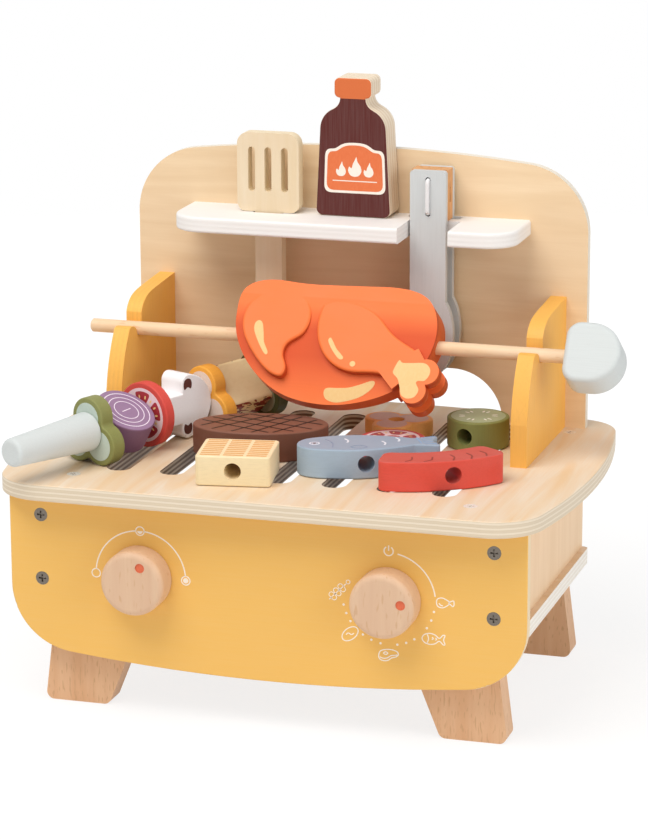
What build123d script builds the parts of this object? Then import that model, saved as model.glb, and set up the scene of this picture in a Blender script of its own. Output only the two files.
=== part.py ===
from build123d import *
import math
import os

# A wooden toy barbecue grill. Millimetres, +Z up, the knobs face -Y.
# Heights are counted from the surface the legs stand on, depths from the front of the panel,
# and X from the middle of the panel. The finished model is centred over the origin by its box.

# ---- clearances -----------------------------------------------------------------------------
glue_gap = 0.05            # between glued or pressed round pieces
running_gap = 0.08         # round a screw that turns in wood
loose_gap = 0.8            # round the spit rod in a piece of food
seat_gap = 0.3             # between a loose piece and what it rests on
slot_gap = 1.3             # round a utensil in the shelf
swing_gap = 2.7            # between the tongs' arms and the shelf that they swing towards
overrun = 2.0              # how far a cutting tool runs past a face

# ---- front panel ------------------------------------------------------------------------------
panel_half_width = 150.0
panel_thickness = 6.0
panel_middle_z = 28.0      # lowest point of the curved bottom edge
panel_corner_z = 38.5      # height that the curve would reach at the sides
panel_corner_radius = 38.5
panel_edge_round = 0.8

# ---- body: sides, front rail, bottom plate --------------------------------------------------------
side_outer_x = 135.7
side_thickness = 9.0
body_depth = 195.1
plate_bottom_z = 51.8
plate_thickness = 9.3
plate_half_width = 139.6
plate_corner_radius = 3.0
top_bottom_z = 126.4
rail_thickness = 9.5

# ---- legs -------------------------------------------------------------------------------------
leg_foot_inner_x = 97.9
leg_foot_outer_x = 136.3
leg_head_inner_x = 77.0
leg_head_outer_x = 129.6
leg_thickness = 15.0
leg_corner_radius = 4.5
leg_setback = 7.5          # front legs behind the panel
leg_rear_setback = 12.1    # rear legs in from the plate's rear edge

# ---- grill top ----------------------------------------------------------------------------------
top_thickness = 9.6
top_overhang = 16.2        # in front of the panel
top_half_width = 165.5
top_widest_y = 98.0
top_side_radius = 450.0
top_rear_y = 216.0
top_rear_corner_y = 206.5
top_front_round = 29.0
top_rear_round = 26.0
top_edge_round = 1.0
slot_count = 7
slot_width = 14.0
slot_pitch = 31.7
slot_front_y = 24.0
slot_rear_y = 182.0

# ---- backboard ----------------------------------------------------------------------------------
board_front_y = 186.9
board_thickness = 5.8
board_half_width = 138.3
board_top_z = 297.5
board_shoulder_z = 287.1   # height that the curved top edge would reach at the sides
board_corner_radius = 40.0
arch_half_width = 88.0
arch_top_z = 167.0
arch_corner_radius = 30.5

# ---- shelf ---------------------------------------------------------------------------------------
shelf_half_width = 104.0
shelf_depth = 45.9
shelf_bottom_z = 249.7
shelf_thickness = 9.3
shelf_corner_radius = 19.0
shelf_edge_round = 1.5

# ---- spit: rod, handle, carved roast ------------------------------------------------------------
spit_y = 124.0
spit_z = 194.4
rod_radius = 4.0
spit_left_x = -146.0
spit_tilt = 33.0           # degrees that the roast leans back at rest
rod_end_round = 1.0
handle_left_x = 141.5
handle_half_height = 18.0
handle_straight = 14.5
handle_thickness = 24.0
handle_corner_radius = 8.5
handle_edge_round = 3.0
handle_rod_depth = 18.0

roast_half_width = 67.0
roast_half_height = 43.5
roast_thickness = 24.0
roast_thin = 9.0           # thickness at its lower edge
roast_thick_share = 0.5    # share of the half height where the back reaches full thickness
roast_edge_round = 1.6
lobe_gap = 9.0             # between the two leg bones

# Outlines of the roast in shares of its half width and half height, about the rod
roast_body_shares = [(-0.815, 0.20), (-0.78, -0.11), (-0.685, -0.38), (-0.54, -0.62), (-0.33, -0.82),
                     (-0.06, -0.92), (0.20, -0.92), (0.44, -0.84), (0.64, -0.71), (0.86, -0.42),
                     (0.98, 0.00), (0.97, 0.34), (0.88, 0.57), (0.68, 0.69), (0.36, 0.70),
                     (0.04, 0.685), (-0.28, 0.69), (-0.58, 0.705), (-0.76, 0.58)]
roast_wing_shares = [(-0.27, 0.53), (-0.16, 0.38), (-0.14, 0.16), (-0.21, -0.05), (-0.31, -0.17),
                     (-0.33, -0.33), (-0.29, -0.50), (-0.32, -0.62), (-0.41, -0.60), (-0.53, -0.46),
                     (-0.66, -0.22), (-0.74, 0.04), (-0.72, 0.34), (-0.56, 0.56), (-0.40, 0.62)]
roast_thigh_shares = [(-0.05, 0.38), (-0.07, 0.10), (-0.01, -0.20), (0.13, -0.42), (0.30, -0.50),
                      (0.48, -0.49), (0.64, -0.53), (0.76, -0.56), (0.86, -0.46), (0.91, -0.28),
                      (0.76, -0.08), (0.60, 0.08), (0.46, 0.30), (0.28, 0.44), (0.10, 0.48)]
bone_neck_shares = [(0.52, -0.44), (0.86, -0.12), (0.94, -0.30), (0.68, -0.70)]
bone_knob_shares = [(0.865, -0.705), (0.955, -0.435)]
bone_knob_radius = 7.6

# ---- knobs ------------------------------------------------------------------------------------
knob_x = 72.0
knob_z = 82.6
knob_radius = 18.5
knob_depth = 16.2
knob_gap = 0.2
knob_front_round = 3.5
knob_rear_round = 1.0
dot_radius = 2.75
dot_depth = 0.7
dot_offset = 11.4
dot_turns = [28.0, 79.0]  # degrees clockwise from straight up
knob_screw_radius = 2.0
knob_screw_grip = 10.0     # length of the screw in the knob
washer_radius = 6.0
washer_thickness = 1.2
knob_screw_head_radius = 4.0
knob_screw_head_height = 2.6

# ---- brackets that carry the spit ------------------------------------------------------------------
bracket_inner_x = 116.5
bracket_thickness = 9.5
bracket_front_y = 92.5
bracket_finger_z = 197.3
bracket_rear_z = 214.7
bracket_notch_gap = 0.3
bracket_edge_round = 0.8
# where the front curve passes, in shares of the way from the front foot to the finger's tip
finger_curve_y_share = 0.17
finger_curve_z_share = 0.72
finger_foot_share = 0.40
finger_tip_share = 0.50    # of the way from the front edge to the rod
# the back part's rising edge, shares of the way to the backboard and of the rise above the notch
rear_rise_shares = [(0.0, 0.42), (0.05, 0.62), (0.11, 0.74), (0.25, 0.86), (0.53, 0.93), (0.78, 0.97),
                    (1.0, 1.0)]

# ---- screws ------------------------------------------------------------------------------------
screw_radius = 1.9
screw_head_radius = 3.9
screw_head_height = 2.4
screw_rim = 0.5
screw_cross_length = 4.4
screw_cross_width = 1.0
screw_cross_depth = 1.3
panel_screw_length = 32.0
panel_screw_inset = 12.5   # below the top
panel_screw_spacing = 37.3
top_screw_length = 32.0
top_front_screw_x = 115.0
top_rear_screw_y = 177.0
leg_screw_length = 30.0
leg_screw_spacing = 24.0
plate_screw_length = 32.0
plate_screw_spacing = 80.0
rear_screw_length = 25.0
bracket_screw_length = 28.0
bracket_screw_spacing = 56.0
shelf_screw_spacing = 88.0
bracket_rear_screw_spacing = 30.0

# ---- wooden food ------------------------------------------------------------------------------
food_thickness = 17.0
slice_thickness = 9.5
food_edge_round = 0.9
corn_width = 42.0
corn_length = 38.0
corn_corner_radius = 2.5
corn_place = (-23.9, 28.8)
corn_turn = 9.5
steak_half_length = 39.0
steak_half_width = 23.5
steak_place = (-28.4, 83.5)
steak_turn = 12.0
fish_length = 82.0
fish_half_width = 16.2
fish_place = (5.0, 47.0)
fish_turn = 21.0
fish_bore_share = 0.46
fish_corner_radius = 1.5
# half outline of the fish, shares of its length and of its half width
fish_back_shares = [(0.0, 0.0), (0.06, 0.60), (0.17, 0.84), (0.30, 0.98), (0.42, 1.0), (0.56, 0.88),
                    (0.70, 0.66), (0.80, 0.42)]
fish_tail_tip_shares = (0.985, 0.66)
fish_tail_notch_share = 0.93
sausage_half_width = 10.5
sausage_start = (57.6, 33.3)
sausage_bend = (88.5, 43.0)
sausage_finish = (113.8, 67.3)
sausage_end_round = 5.5
sausage_bore_share = 0.551
pepper_lobe_radius = 11.5
pepper_lobe_offset = 10.1
pepper_waist_round = 2.5
loose_pepper_place = (36.1, 141.0)
tomato_radius = 19.0
loose_tomato_place = (45.0, 101.0)
cucumber_radius = 18.0
cucumber_place = (87.0, 134.5)
cucumber_turn = 12.7

# ---- skewer lying on the grill ----------------------------------------------------------------------
skewer_place = (-113.0, 37.4)
skewer_rise = 19.0         # axis above the top
skewer_turn = 23.0         # degrees from straight back, to the right
skewer_food_gap = 0.35
skewer_tail = 2.8          # rod beyond the last piece
grip_length = 61.0
grip_gap = 0.25
grip_near_radius = 8.0
grip_far_radius = 11.3
grip_round = 2.5
grip_rod_depth = 40.0
onion_radius = 17.7
onion_thickness = 17.5
onion_lean = 60.0          # degrees from upright
skewer_tomato_thickness = 7.0
mushroom_length = 42.3
mushroom_stem_half_width = 9.0
mushroom_stem_length = 17.5
mushroom_cap_half_width = 19.6
mushroom_rim_round = 5.0
bacon_length = 35.7
bacon_width = 30.0
bacon_thickness = 17.5
bacon_roll = 45.0
bacon_corner_radius = 2.5

# ---- utensils on the shelf -------------------------------------------------------------------------
bottle_x = 2.1
bottle_rear_gap = 0.4
bottle_thickness = 20.0
bottle_half_width = 22.7
bottle_shoulder_half_width = 19.6
bottle_shoulder_height = 59.0
bottle_neck_half_width = 7.85
bottle_neck_height = 65.5
bottle_cap_half_width = 11.2
bottle_cap_bottom = 69.7
bottle_height = 81.5
bottle_shoulder_round = 13.0
bottle_neck_round = 7.0
bottle_foot_round = 4.0
bottle_cap_round = 3.2
bottle_edge_round = 0.8

spatula_x = -50.0
spatula_front_y = 166.5
spatula_thickness = 8.0
spatula_head_half_width = 19.0
spatula_head_height = 47.0
spatula_head_round = 7.0
spatula_foot_round = 5.0
spatula_handle_half_width = 8.2
spatula_handle_length = 81.0
spatula_handle_round = 6.0
spatula_slot_width = 4.3
spatula_slot_length = 26.5
spatula_slot_pitch = 10.15
spatula_slot_rise = 12.0
spatula_edge_round = 0.8

tongs_x = 48.1
tongs_front_y = 164.2
tongs_arm_thickness = 4.2
tongs_arm_half_width = 10.75
tongs_spacer_thickness = 11.2
tongs_spacer_height = 29.8
tongs_reach = 94.0         # from the shelf's upper face down to the tips
tongs_jaw_half_width = 15.5
tongs_jaw_half_height = 27.0
tongs_top_round = 2.0
tongs_slot_half_width = 16.0
tongs_notch_x = 51.1        # the open notch reaches further to the right of the arm
tongs_notch_half_width = 15.1
groove_count = 3
groove_width = 1.6
groove_depth = 1.0
groove_pitch = 7.0
groove_length = 17.0
elastic_radius = 1.3
elastic_gap = 0.3
elastic_low = 4.6          # lower hole above the spacer's bottom
elastic_high = 24.6
pocket_height = 9.0
pocket_width = 1.7
pocket_depth = 3.0

# ---- heights and places worked out from the sizes above ------------------------------------------------
plate_top_z = plate_bottom_z + plate_thickness
side_middle_x = side_outer_x - side_thickness / 2
top_z = top_bottom_z + top_thickness
food_z = top_z + seat_gap
shelf_front_y = board_front_y - shelf_depth
shelf_top_z = shelf_bottom_z + shelf_thickness
board_rear_y = board_front_y + board_thickness
utensil_z = shelf_top_z + seat_gap
food_bore_radius = rod_radius + loose_gap
notch_radius = rod_radius + bracket_notch_gap
skewer_z = top_z + skewer_rise
leg_middle_x = (leg_head_inner_x + leg_head_outer_x) / 2
leg_middles_y = [panel_thickness + leg_setback + leg_thickness / 2,
                 body_depth - leg_rear_setback - leg_thickness / 2]
bracket_middle_x = bracket_inner_x + bracket_thickness / 2
tongs_rear_y = tongs_front_y + tongs_arm_thickness + tongs_spacer_thickness


# ---- drawing helpers -----------------------------------------------------------------------------
def block(x0, x1, y0, y1, z0, z1):
    """A box between two corners."""
    return Pos((x0 + x1) / 2, (y0 + y1) / 2, (z0 + z1) / 2) * Box(x1 - x0, y1 - y0, z1 - z0)


def upright(drawing, y, thickness):
    """Extrude a drawing made in X and Z, from depth y towards the back."""
    plane = Plane(origin=(0, y, 0), x_dir=(1, 0, 0), z_dir=(0, -1, 0))
    return extrude(plane * drawing, thickness, dir=(0, 1, 0))


def sideways(drawing, x, thickness):
    """Extrude a drawing made in Y and Z, from x towards +X."""
    plane = Plane(origin=(x, 0, 0), x_dir=(0, 1, 0), z_dir=(1, 0, 0))
    return extrude(plane * drawing, thickness, dir=(1, 0, 0))


def flat(drawing, z, thickness):
    """Extrude a drawing made in X and Y upwards from height z."""
    return extrude(Pos(0, 0, z) * drawing, thickness, dir=(0, 0, 1))


def bar(start, direction, radius, length):
    """A round bar from a point along a direction."""
    low = (Align.CENTER, Align.CENTER, Align.MIN)
    return Plane(origin=start, z_dir=direction) * Cylinder(radius, length, align=low)


def closed_curve(shares, width, height):
    """A smooth closed outline through points given as shares of two sizes."""
    points = [(width * u, height * v) for u, v in shares]
    return make_face(Spline(*points, periodic=True))


def scaled(shares, width, height):
    """Points from shares of two sizes."""
    return [(width * u, height * v) for u, v in shares]


def mirror_x(shape):
    """The same piece on the other side."""
    return mirror(shape, Plane.YZ)


# ---- screws --------------------------------------------------------------------------------------
def countersunk_screw(start, direction, length):
    """A countersunk screw whose head is flush at the start."""
    tip = 2 * screw_radius
    profile = make_face(Polyline((0, 0), (screw_head_radius, 0), (screw_head_radius, screw_rim),
                                 (screw_radius, screw_head_height), (screw_radius, length - tip),
                                 (0, length), close=True))
    screw = revolve(Plane.XZ * profile, Axis.Z)
    for turn in (0, 90):
        screw -= Rot(0, 0, turn) * Box(screw_cross_length, screw_cross_width, 2 * screw_cross_depth)
    return Plane(origin=start, z_dir=direction) * screw


def screw_hole(start, direction, length):
    """The countersunk hole that such a screw fills."""
    gap = glue_gap
    profile = make_face(Polyline((0, -overrun), (screw_head_radius + gap, -overrun),
                                 (screw_head_radius + gap, screw_rim),
                                 (screw_radius + gap, screw_head_height),
                                 (screw_radius + gap, length + gap), (0, length + gap), close=True))
    return Plane(origin=start, z_dir=direction) * revolve(Plane.XZ * profile, Axis.Z)


def panel_screw_places():
    high = top_bottom_z - panel_screw_inset
    heights = (high, high - panel_screw_spacing)
    return [(side * side_middle_x, 0, z) for side in (-1, 1) for z in heights]


def top_screw_places():
    front = panel_thickness + rail_thickness / 2
    places = [(side * top_front_screw_x, front, top_z) for side in (-1, 1)]
    return places + [(side * side_middle_x, top_rear_screw_y, top_z) for side in (-1, 1)]


def leg_screw_places():
    offsets = (-leg_screw_spacing / 2, leg_screw_spacing / 2)
    return [(side * (leg_middle_x + offset), y, plate_top_z)
            for side in (-1, 1) for offset in offsets for y in leg_middles_y]


def plate_screw_places():
    middle = (panel_thickness + body_depth) / 2
    offsets = (-plate_screw_spacing / 2, plate_screw_spacing / 2)
    return [(side * side_middle_x, middle + offset, plate_bottom_z)
            for side in (-1, 1) for offset in offsets]


def bracket_screw_places():
    middle = (bracket_front_y + board_front_y) / 2
    offsets = (-bracket_screw_spacing / 2, bracket_screw_spacing / 2)
    return [(side * bracket_middle_x, middle + offset, top_bottom_z)
            for side in (-1, 1) for offset in offsets]


def rear_screw_places():
    middle = (top_z + bracket_rear_z) / 2
    offsets = (-bracket_rear_screw_spacing / 2, bracket_rear_screw_spacing / 2)
    shelf_middle = shelf_bottom_z + shelf_thickness / 2
    places = [(side * bracket_middle_x, board_rear_y, middle + offset)
              for side in (-1, 1) for offset in offsets]
    return places + [(step * shelf_screw_spacing, board_rear_y, shelf_middle) for step in (-1, 0, 1)]


to_back, to_front, upward, downward = (0, 1, 0), (0, -1, 0), (0, 0, 1), (0, 0, -1)
screw_sets = {"panel_screws": (panel_screw_places(), to_back, panel_screw_length),
              "top_screws": (top_screw_places(), downward, top_screw_length),
              "leg_screws": (leg_screw_places(), downward, leg_screw_length),
              "plate_screws": (plate_screw_places(), upward, plate_screw_length),
              "bracket_screws": (bracket_screw_places(), upward, bracket_screw_length),
              "rear_screws": (rear_screw_places(), to_front, rear_screw_length)}


def screws(name):
    places, direction, length = screw_sets[name]
    return Compound(children=[countersunk_screw(place, direction, length) for place in places])


def drilled(piece, *names):
    """Cut the holes of the named screw sets out of a piece."""
    for name in names:
        places, direction, length = screw_sets[name]
        for place in places:
            piece -= screw_hole(place, direction, length)
    return piece


# ---- body -----------------------------------------------------------------------------------------
def front_panel():
    w, low, corner, high = panel_half_width, panel_middle_z, panel_corner_z, top_bottom_z
    outline = make_face([Line((-w, high), (w, high)), Line((w, high), (w, corner)),
                         ThreePointArc((w, corner), (0, low), (-w, corner)),
                         Line((-w, corner), (-w, high))])
    corners = outline.vertices().group_by(Axis.Y)[0]
    outline = fillet(corners, panel_corner_radius)
    panel = upright(outline, 0, panel_thickness)
    front_edges = panel.faces().sort_by(Axis.Y)[0].edges().group_by(Axis.Z)[:-1]
    panel = fillet([edge for group in front_edges for edge in group if edge.center().Z < high], 
                   panel_edge_round)
    for side in (-1, 1):
        start = (side * knob_x, -overrun, knob_z)
        panel -= bar(start, to_back, knob_screw_radius + running_gap, panel_thickness + 2 * overrun)
    return drilled(panel, "panel_screws")


def front_rail():
    inner = side_outer_x - side_thickness
    rail = block(-inner, inner, panel_thickness, panel_thickness + rail_thickness,
                 plate_top_z, top_bottom_z)
    for side in (-1, 1):
        start = (side * knob_x, panel_thickness - overrun, knob_z)
        rail -= bar(start, to_back, knob_screw_radius + running_gap, rail_thickness + 2 * overrun)
    return drilled(rail, "top_screws")


def side_panel():
    side = block(side_outer_x - side_thickness, side_outer_x, panel_thickness, body_depth,
                 plate_top_z, top_bottom_z)
    return drilled(side, "panel_screws", "top_screws", "plate_screws")


def bottom_plate():
    depth = body_depth - panel_thickness
    outline = RectangleRounded(2 * plate_half_width, depth, plate_corner_radius)
    plate = flat(Pos(0, panel_thickness + depth / 2) * outline, plate_bottom_z, plate_thickness)
    return drilled(plate, "leg_screws", "plate_screws")


def leg(row):
    """A right-hand leg, row 0 in front and row 1 at the back."""
    outline = Polygon((leg_foot_inner_x, 0), (leg_foot_outer_x, 0), (leg_head_outer_x, plate_bottom_z),
                      (leg_head_inner_x, plate_bottom_z), align=None)
    outline = fillet(outline.vertices().group_by(Axis.Y)[0], leg_corner_radius)
    piece = upright(outline, leg_middles_y[row] - leg_thickness / 2, leg_thickness)
    return drilled(piece, "leg_screws")


# ---- grill top --------------------------------------------------------------------------------------
def top_side_x(y):
    """Half width of the top's curved side at depth y."""
    centre = top_half_width - top_side_radius
    return centre + math.sqrt(top_side_radius ** 2 - (y - top_widest_y) ** 2)


def grill_top():
    front, rear = -top_overhang, top_rear_corner_y
    xf, xr, widest = top_side_x(front), top_side_x(rear), top_half_width
    outline = make_face([Line((-xf, front), (xf, front)),
                         ThreePointArc((xf, front), (widest, top_widest_y), (xr, rear)),
                         ThreePointArc((xr, rear), (0, top_rear_y), (-xr, rear)),
                         ThreePointArc((-xr, rear), (-widest, top_widest_y), (-xf, front))])
    corners = outline.vertices().sort_by(Axis.Y)
    outline = fillet(corners[:2], top_front_round)
    outline = fillet([v for v in outline.vertices() if v.Y > top_widest_y], top_rear_round)
    top = flat(outline, top_bottom_z, top_thickness)
    rims = top.faces().filter_by(Axis.Z).edges()
    top = fillet(rims, top_edge_round)
    slot_length = slot_rear_y - slot_front_y
    middle = (slot_front_y + slot_rear_y) / 2
    slot = Rot(0, 0, 90) * SlotOverall(slot_length, slot_width)
    for index in range(slot_count):
        x = (index - (slot_count - 1) / 2) * slot_pitch
        top -= flat(Pos(x, middle) * slot, top_bottom_z - overrun, top_thickness + 2 * overrun)
    return drilled(top, "top_screws", "bracket_screws")


# ---- backboard and shelf --------------------------------------------------------------------------
def backboard():
    w, high, shoulder = board_half_width, board_top_z, board_shoulder_z
    outline = make_face([Line((-w, top_z), (w, top_z)), Line((w, top_z), (w, shoulder)),
                         ThreePointArc((w, shoulder), (0, high), (-w, shoulder)),
                         Line((-w, shoulder), (-w, top_z))])
    corners = [v for v in outline.vertices() if v.Y > (top_z + shoulder) / 2]
    outline = fillet(corners, board_corner_radius)
    arch_height = arch_top_z - top_z
    arch = Pos(0, top_z) * Rectangle(2 * arch_half_width, 2 * arch_height)
    arch = fillet(arch.vertices().group_by(Axis.Y)[-1], arch_corner_radius)
    outline -= arch
    return drilled(upright(outline, board_front_y, board_thickness), "rear_screws")


def spatula_slot():
    width = 2 * (spatula_handle_half_width + slot_gap)
    depth = spatula_thickness + 2 * slot_gap
    middle = spatula_front_y + spatula_thickness / 2
    hole = RectangleRounded(width, depth, spatula_edge_round + slot_gap)
    return Pos(spatula_x, middle) * hole


def tongs_slots():
    """An open notch for the front arm and a slot for the rear one."""
    notch_rear = tongs_front_y + tongs_arm_thickness + swing_gap
    notch_depth = notch_rear - shelf_front_y
    notch = Rectangle(2 * tongs_notch_half_width, notch_depth + overrun,
                      align=(Align.CENTER, Align.MAX))
    notch = Pos(tongs_notch_x, notch_rear) * notch
    slot_depth = swing_gap + tongs_arm_thickness + slot_gap
    slot_middle = tongs_rear_y - swing_gap + slot_depth / 2
    slot = RectangleRounded(2 * tongs_slot_half_width, slot_depth, slot_depth / 3)
    return [notch, Pos(tongs_x, slot_middle) * slot]


def shelf():
    outline = Rectangle(2 * shelf_half_width, shelf_depth, align=(Align.CENTER, Align.MIN))
    outline = Pos(0, shelf_front_y) * outline
    outline = fillet(outline.vertices().group_by(Axis.Y)[0], shelf_corner_radius)
    board = flat(outline, shelf_bottom_z, shelf_thickness)
    rims = [edge for face in board.faces().filter_by(Axis.Z) for edge in face.edges()
            if edge.center().Y < board_front_y - shelf_edge_round]
    board = fillet(rims, shelf_edge_round)
    for hole in [spatula_slot()] + tongs_slots():
        board -= flat(hole, shelf_bottom_z - overrun, shelf_thickness + 2 * overrun)
    return drilled(board, "rear_screws")


# ---- brackets ----------------------------------------------------------------------------------------
def bracket():
    front, rear = bracket_front_y, board_front_y
    notch_front, notch_rear = spit_y - notch_radius, spit_y + notch_radius
    finger = bracket_finger_z - top_z
    foot_z = top_z + finger * finger_foot_share
    tip_y = front + (spit_y - front) * finger_tip_share
    curve = (front + (spit_y - front) * finger_curve_y_share, top_z + finger * finger_curve_z_share)
    rise = bracket_rear_z - spit_z
    rear_points = [(notch_rear + (rear - notch_rear) * u, spit_z + rise * v) for u, v in rear_rise_shares]
    lip = (notch_front - (notch_front - tip_y) / 4, bracket_finger_z - (bracket_finger_z - spit_z) / 4)
    outline = make_face([Line((front, top_z), (front, foot_z)),
                         ThreePointArc((front, foot_z), curve, (tip_y, bracket_finger_z)),
                         ThreePointArc((tip_y, bracket_finger_z), lip, (notch_front, spit_z)),
                         ThreePointArc((notch_front, spit_z), (spit_y, spit_z - notch_radius),
                                       (notch_rear, spit_z)),
                         Line((notch_rear, spit_z), rear_points[0]), Spline(*rear_points),
                         Line(rear_points[-1], (rear, top_z)), Line((rear, top_z), (front, top_z))])
    piece = sideways(outline, bracket_inner_x, bracket_thickness)
    return drilled(piece, "bracket_screws", "rear_screws")


# ---- knobs ---------------------------------------------------------------------------------------------
def knob(side):
    """A turned knob, side -1 left and 1 right."""
    turn = dot_turns[0 if side < 0 else 1]
    low = (Align.CENTER, Align.CENTER, Align.MIN)
    body = Cylinder(knob_radius, knob_depth, align=low)
    body = fillet(body.edges().group_by(Axis.Z)[-1], knob_front_round)
    body = fillet(body.edges().group_by(Axis.Z)[0], knob_rear_round)
    body -= Pos(0, dot_offset, knob_depth - dot_depth) * Cylinder(dot_radius, 2 * dot_depth, align=low)
    body -= Cylinder(knob_screw_radius + glue_gap, knob_screw_grip + glue_gap, align=low)
    face = Plane(origin=(side * knob_x, -knob_gap, knob_z), x_dir=(1, 0, 0), z_dir=to_front)
    return face * Rot(0, 0, -turn) * body


def knob_screw(side):
    rear = panel_thickness + rail_thickness + washer_thickness + 2 * knob_gap
    tip = -knob_gap - knob_screw_grip
    shank = bar((side * knob_x, rear, knob_z), to_front, knob_screw_radius, rear - tip)
    head = bar((side * knob_x, rear, knob_z), to_back, knob_screw_head_radius, knob_screw_head_height)
    head = fillet(head.edges().group_by(Axis.Y)[-1], knob_screw_head_height / 3)
    cross = Box(screw_cross_length, 2 * screw_cross_depth, screw_cross_width)
    cross += Box(screw_cross_width, 2 * screw_cross_depth, screw_cross_length)
    return shank + head - Pos(side * knob_x, rear + knob_screw_head_height, knob_z) * cross


def knob_washer(side):
    start = (side * knob_x, panel_thickness + rail_thickness + knob_gap, knob_z)
    ring = bar(start, to_back, washer_radius, washer_thickness)
    return ring - bar(start, to_back, knob_screw_radius + glue_gap, washer_thickness)


# ---- spit -----------------------------------------------------------------------------------------------
# Plane of the roast: X along the rod, Y up the roast, Z towards the front
spit_lean = (0, math.sin(math.radians(spit_tilt)), math.cos(math.radians(spit_tilt)))
spit_front = (0, -math.cos(math.radians(spit_tilt)), math.sin(math.radians(spit_tilt)))
spit_plane = Plane(origin=(0, spit_y, spit_z), x_dir=(1, 0, 0), z_dir=spit_front)


def spit_rod():
    length = handle_left_x + handle_rod_depth - spit_left_x
    rod = bar((spit_left_x, spit_y, spit_z), (1, 0, 0), rod_radius, length)
    return chamfer(rod.edges().group_by(Axis.X)[0], rod_end_round)


def spit_handle():
    straight, half = handle_straight, handle_half_height
    outline = Rectangle(straight, 2 * half, align=(Align.MIN, Align.CENTER))
    outline = fillet(outline.vertices().group_by(Axis.X)[0], handle_corner_radius)
    round_end = Circle(half) & Rectangle(2 * half, 2 * half, align=(Align.MIN, Align.CENTER))
    outline += Pos(straight, 0) * round_end
    block_ = flat(Pos(handle_left_x, 0) * outline, -handle_thickness / 2, handle_thickness)
    block_ = fillet(block_.faces().filter_by(Axis.Z).edges(), handle_edge_round)
    block_ = spit_plane * block_
    return block_ - bar((handle_left_x - overrun, spit_y, spit_z), (1, 0, 0), rod_radius + glue_gap,
                        overrun + handle_rod_depth + glue_gap)


def roast():
    w, h, half = roast_half_width, roast_half_height, roast_thickness / 2
    body = flat(closed_curve(roast_body_shares, w, h), -half, 2 * half)
    thick_v = h * roast_thick_share
    wedge = Polygon((-h, roast_thin / 2), (thick_v, half), (h, half), (h, -half), (thick_v, -half),
                    (-h, -roast_thin / 2), align=None)
    side = Plane(origin=(-w - overrun, 0, 0), x_dir=(0, 1, 0), z_dir=(1, 0, 0))
    body &= extrude(side * wedge, 2 * (w + overrun), dir=(1, 0, 0))
    for shares in (roast_wing_shares, roast_thigh_shares):
        limb = flat(closed_curve(shares, w, h), -half, 2 * half)
        body += fillet(limb.faces().filter_by(Axis.Z).edges(), roast_edge_round)
    bone = make_face(Polyline(*scaled(bone_neck_shares, w, h), close=True))
    for u, v in bone_knob_shares:
        bone += Pos(w * u, h * v) * Circle(bone_knob_radius)
    for low in (-half, lobe_gap / 2):
        body += flat(bone, low, half - lobe_gap / 2)
    body -= Rot(0, 90, 0) * Cylinder(rod_radius + glue_gap, 2 * (w + overrun))
    return spit_plane * body


# ---- food on the grill --------------------------------------------------------------------------------
def food_place(place, turn=0):
    """Where a piece drawn about its own middle lies on the top."""
    return Pos(place[0], place[1], food_z) * Rot(0, 0, turn)


def slab(outline, thickness=food_thickness):
    """A thick piece with its upper and lower rims eased."""
    piece = flat(outline, 0, thickness)
    return fillet(piece.faces().filter_by(Axis.Z).edges(), food_edge_round)


def cross_bore(length, x=0, turn=0):
    """A hole at half height across a piece, along Y or turned from it."""
    hole = Rot(0, 0, turn) * Rot(90, 0, 0) * Cylinder(food_bore_radius, length + 2 * overrun)
    return Pos(x, 0, food_thickness / 2) * hole


def corn():
    block_ = slab(RectangleRounded(corn_width, corn_length, corn_corner_radius))
    return food_place(corn_place, corn_turn) * (block_ - cross_bore(corn_length))


def steak():
    piece = slab(Ellipse(steak_half_length, steak_half_width))
    return food_place(steak_place, steak_turn) * (piece - cross_bore(2 * steak_half_width))


def fish():
    length, half = fish_length, fish_half_width
    back = scaled(fish_back_shares, length, half)
    belly = [(x, -y) for x, y in reversed(back)]
    tip = (length * fish_tail_tip_shares[0], half * fish_tail_tip_shares[1])
    notch = (length * fish_tail_notch_share, 0)
    outline = make_face([Spline(*(belly[:-1] + back)), Line(back[-1], tip), Line(tip, notch),
                         Line(notch, (tip[0], -tip[1])), Line((tip[0], -tip[1]), belly[0])])
    outline = fillet(outline.vertices(), fish_corner_radius)
    piece = slab(outline)
    bore = cross_bore(2 * half, length * fish_bore_share)
    return food_place(fish_place, fish_turn) * (piece - bore)


def sausage():
    path = ThreePointArc(sausage_start, sausage_bend, sausage_finish)
    sides = []
    for out in (-sausage_half_width, sausage_half_width):
        points = []
        for share in (0, 0.5, 1):
            at, along = path @ share, path % share
            points.append((at.X - out * along.Y, at.Y + out * along.X))
        sides.append(ThreePointArc(*points))
    right, left = sides
    outline = make_face([right, Line(right @ 1, left @ 1), left, Line(left @ 0, right @ 0)])
    piece = slab(fillet(outline.vertices(), sausage_end_round))
    middle, along = path @ sausage_bore_share, path % sausage_bore_share
    turn = math.degrees(math.atan2(along.Y, along.X))
    bore = Pos(middle.X, middle.Y, 0) * cross_bore(2 * sausage_half_width, turn=turn)
    return food_place((0, 0)) * (piece - bore)


def pepper_outline():
    """Three round lobes about the middle."""
    outline = Circle(pepper_lobe_offset)
    for turn in (90, 210, 330):
        outline += Rot(0, 0, turn) * Pos(pepper_lobe_offset, 0) * Circle(pepper_lobe_radius)
    limit = pepper_lobe_offset + pepper_lobe_radius / 2
    waists = [v for v in outline.vertices() if math.hypot(v.X, v.Y) < limit]
    return fillet(waists, pepper_waist_round)


def loose_pepper():
    piece = slab(pepper_outline() - Circle(food_bore_radius), slice_thickness)
    return food_place(loose_pepper_place, 180) * piece


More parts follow.
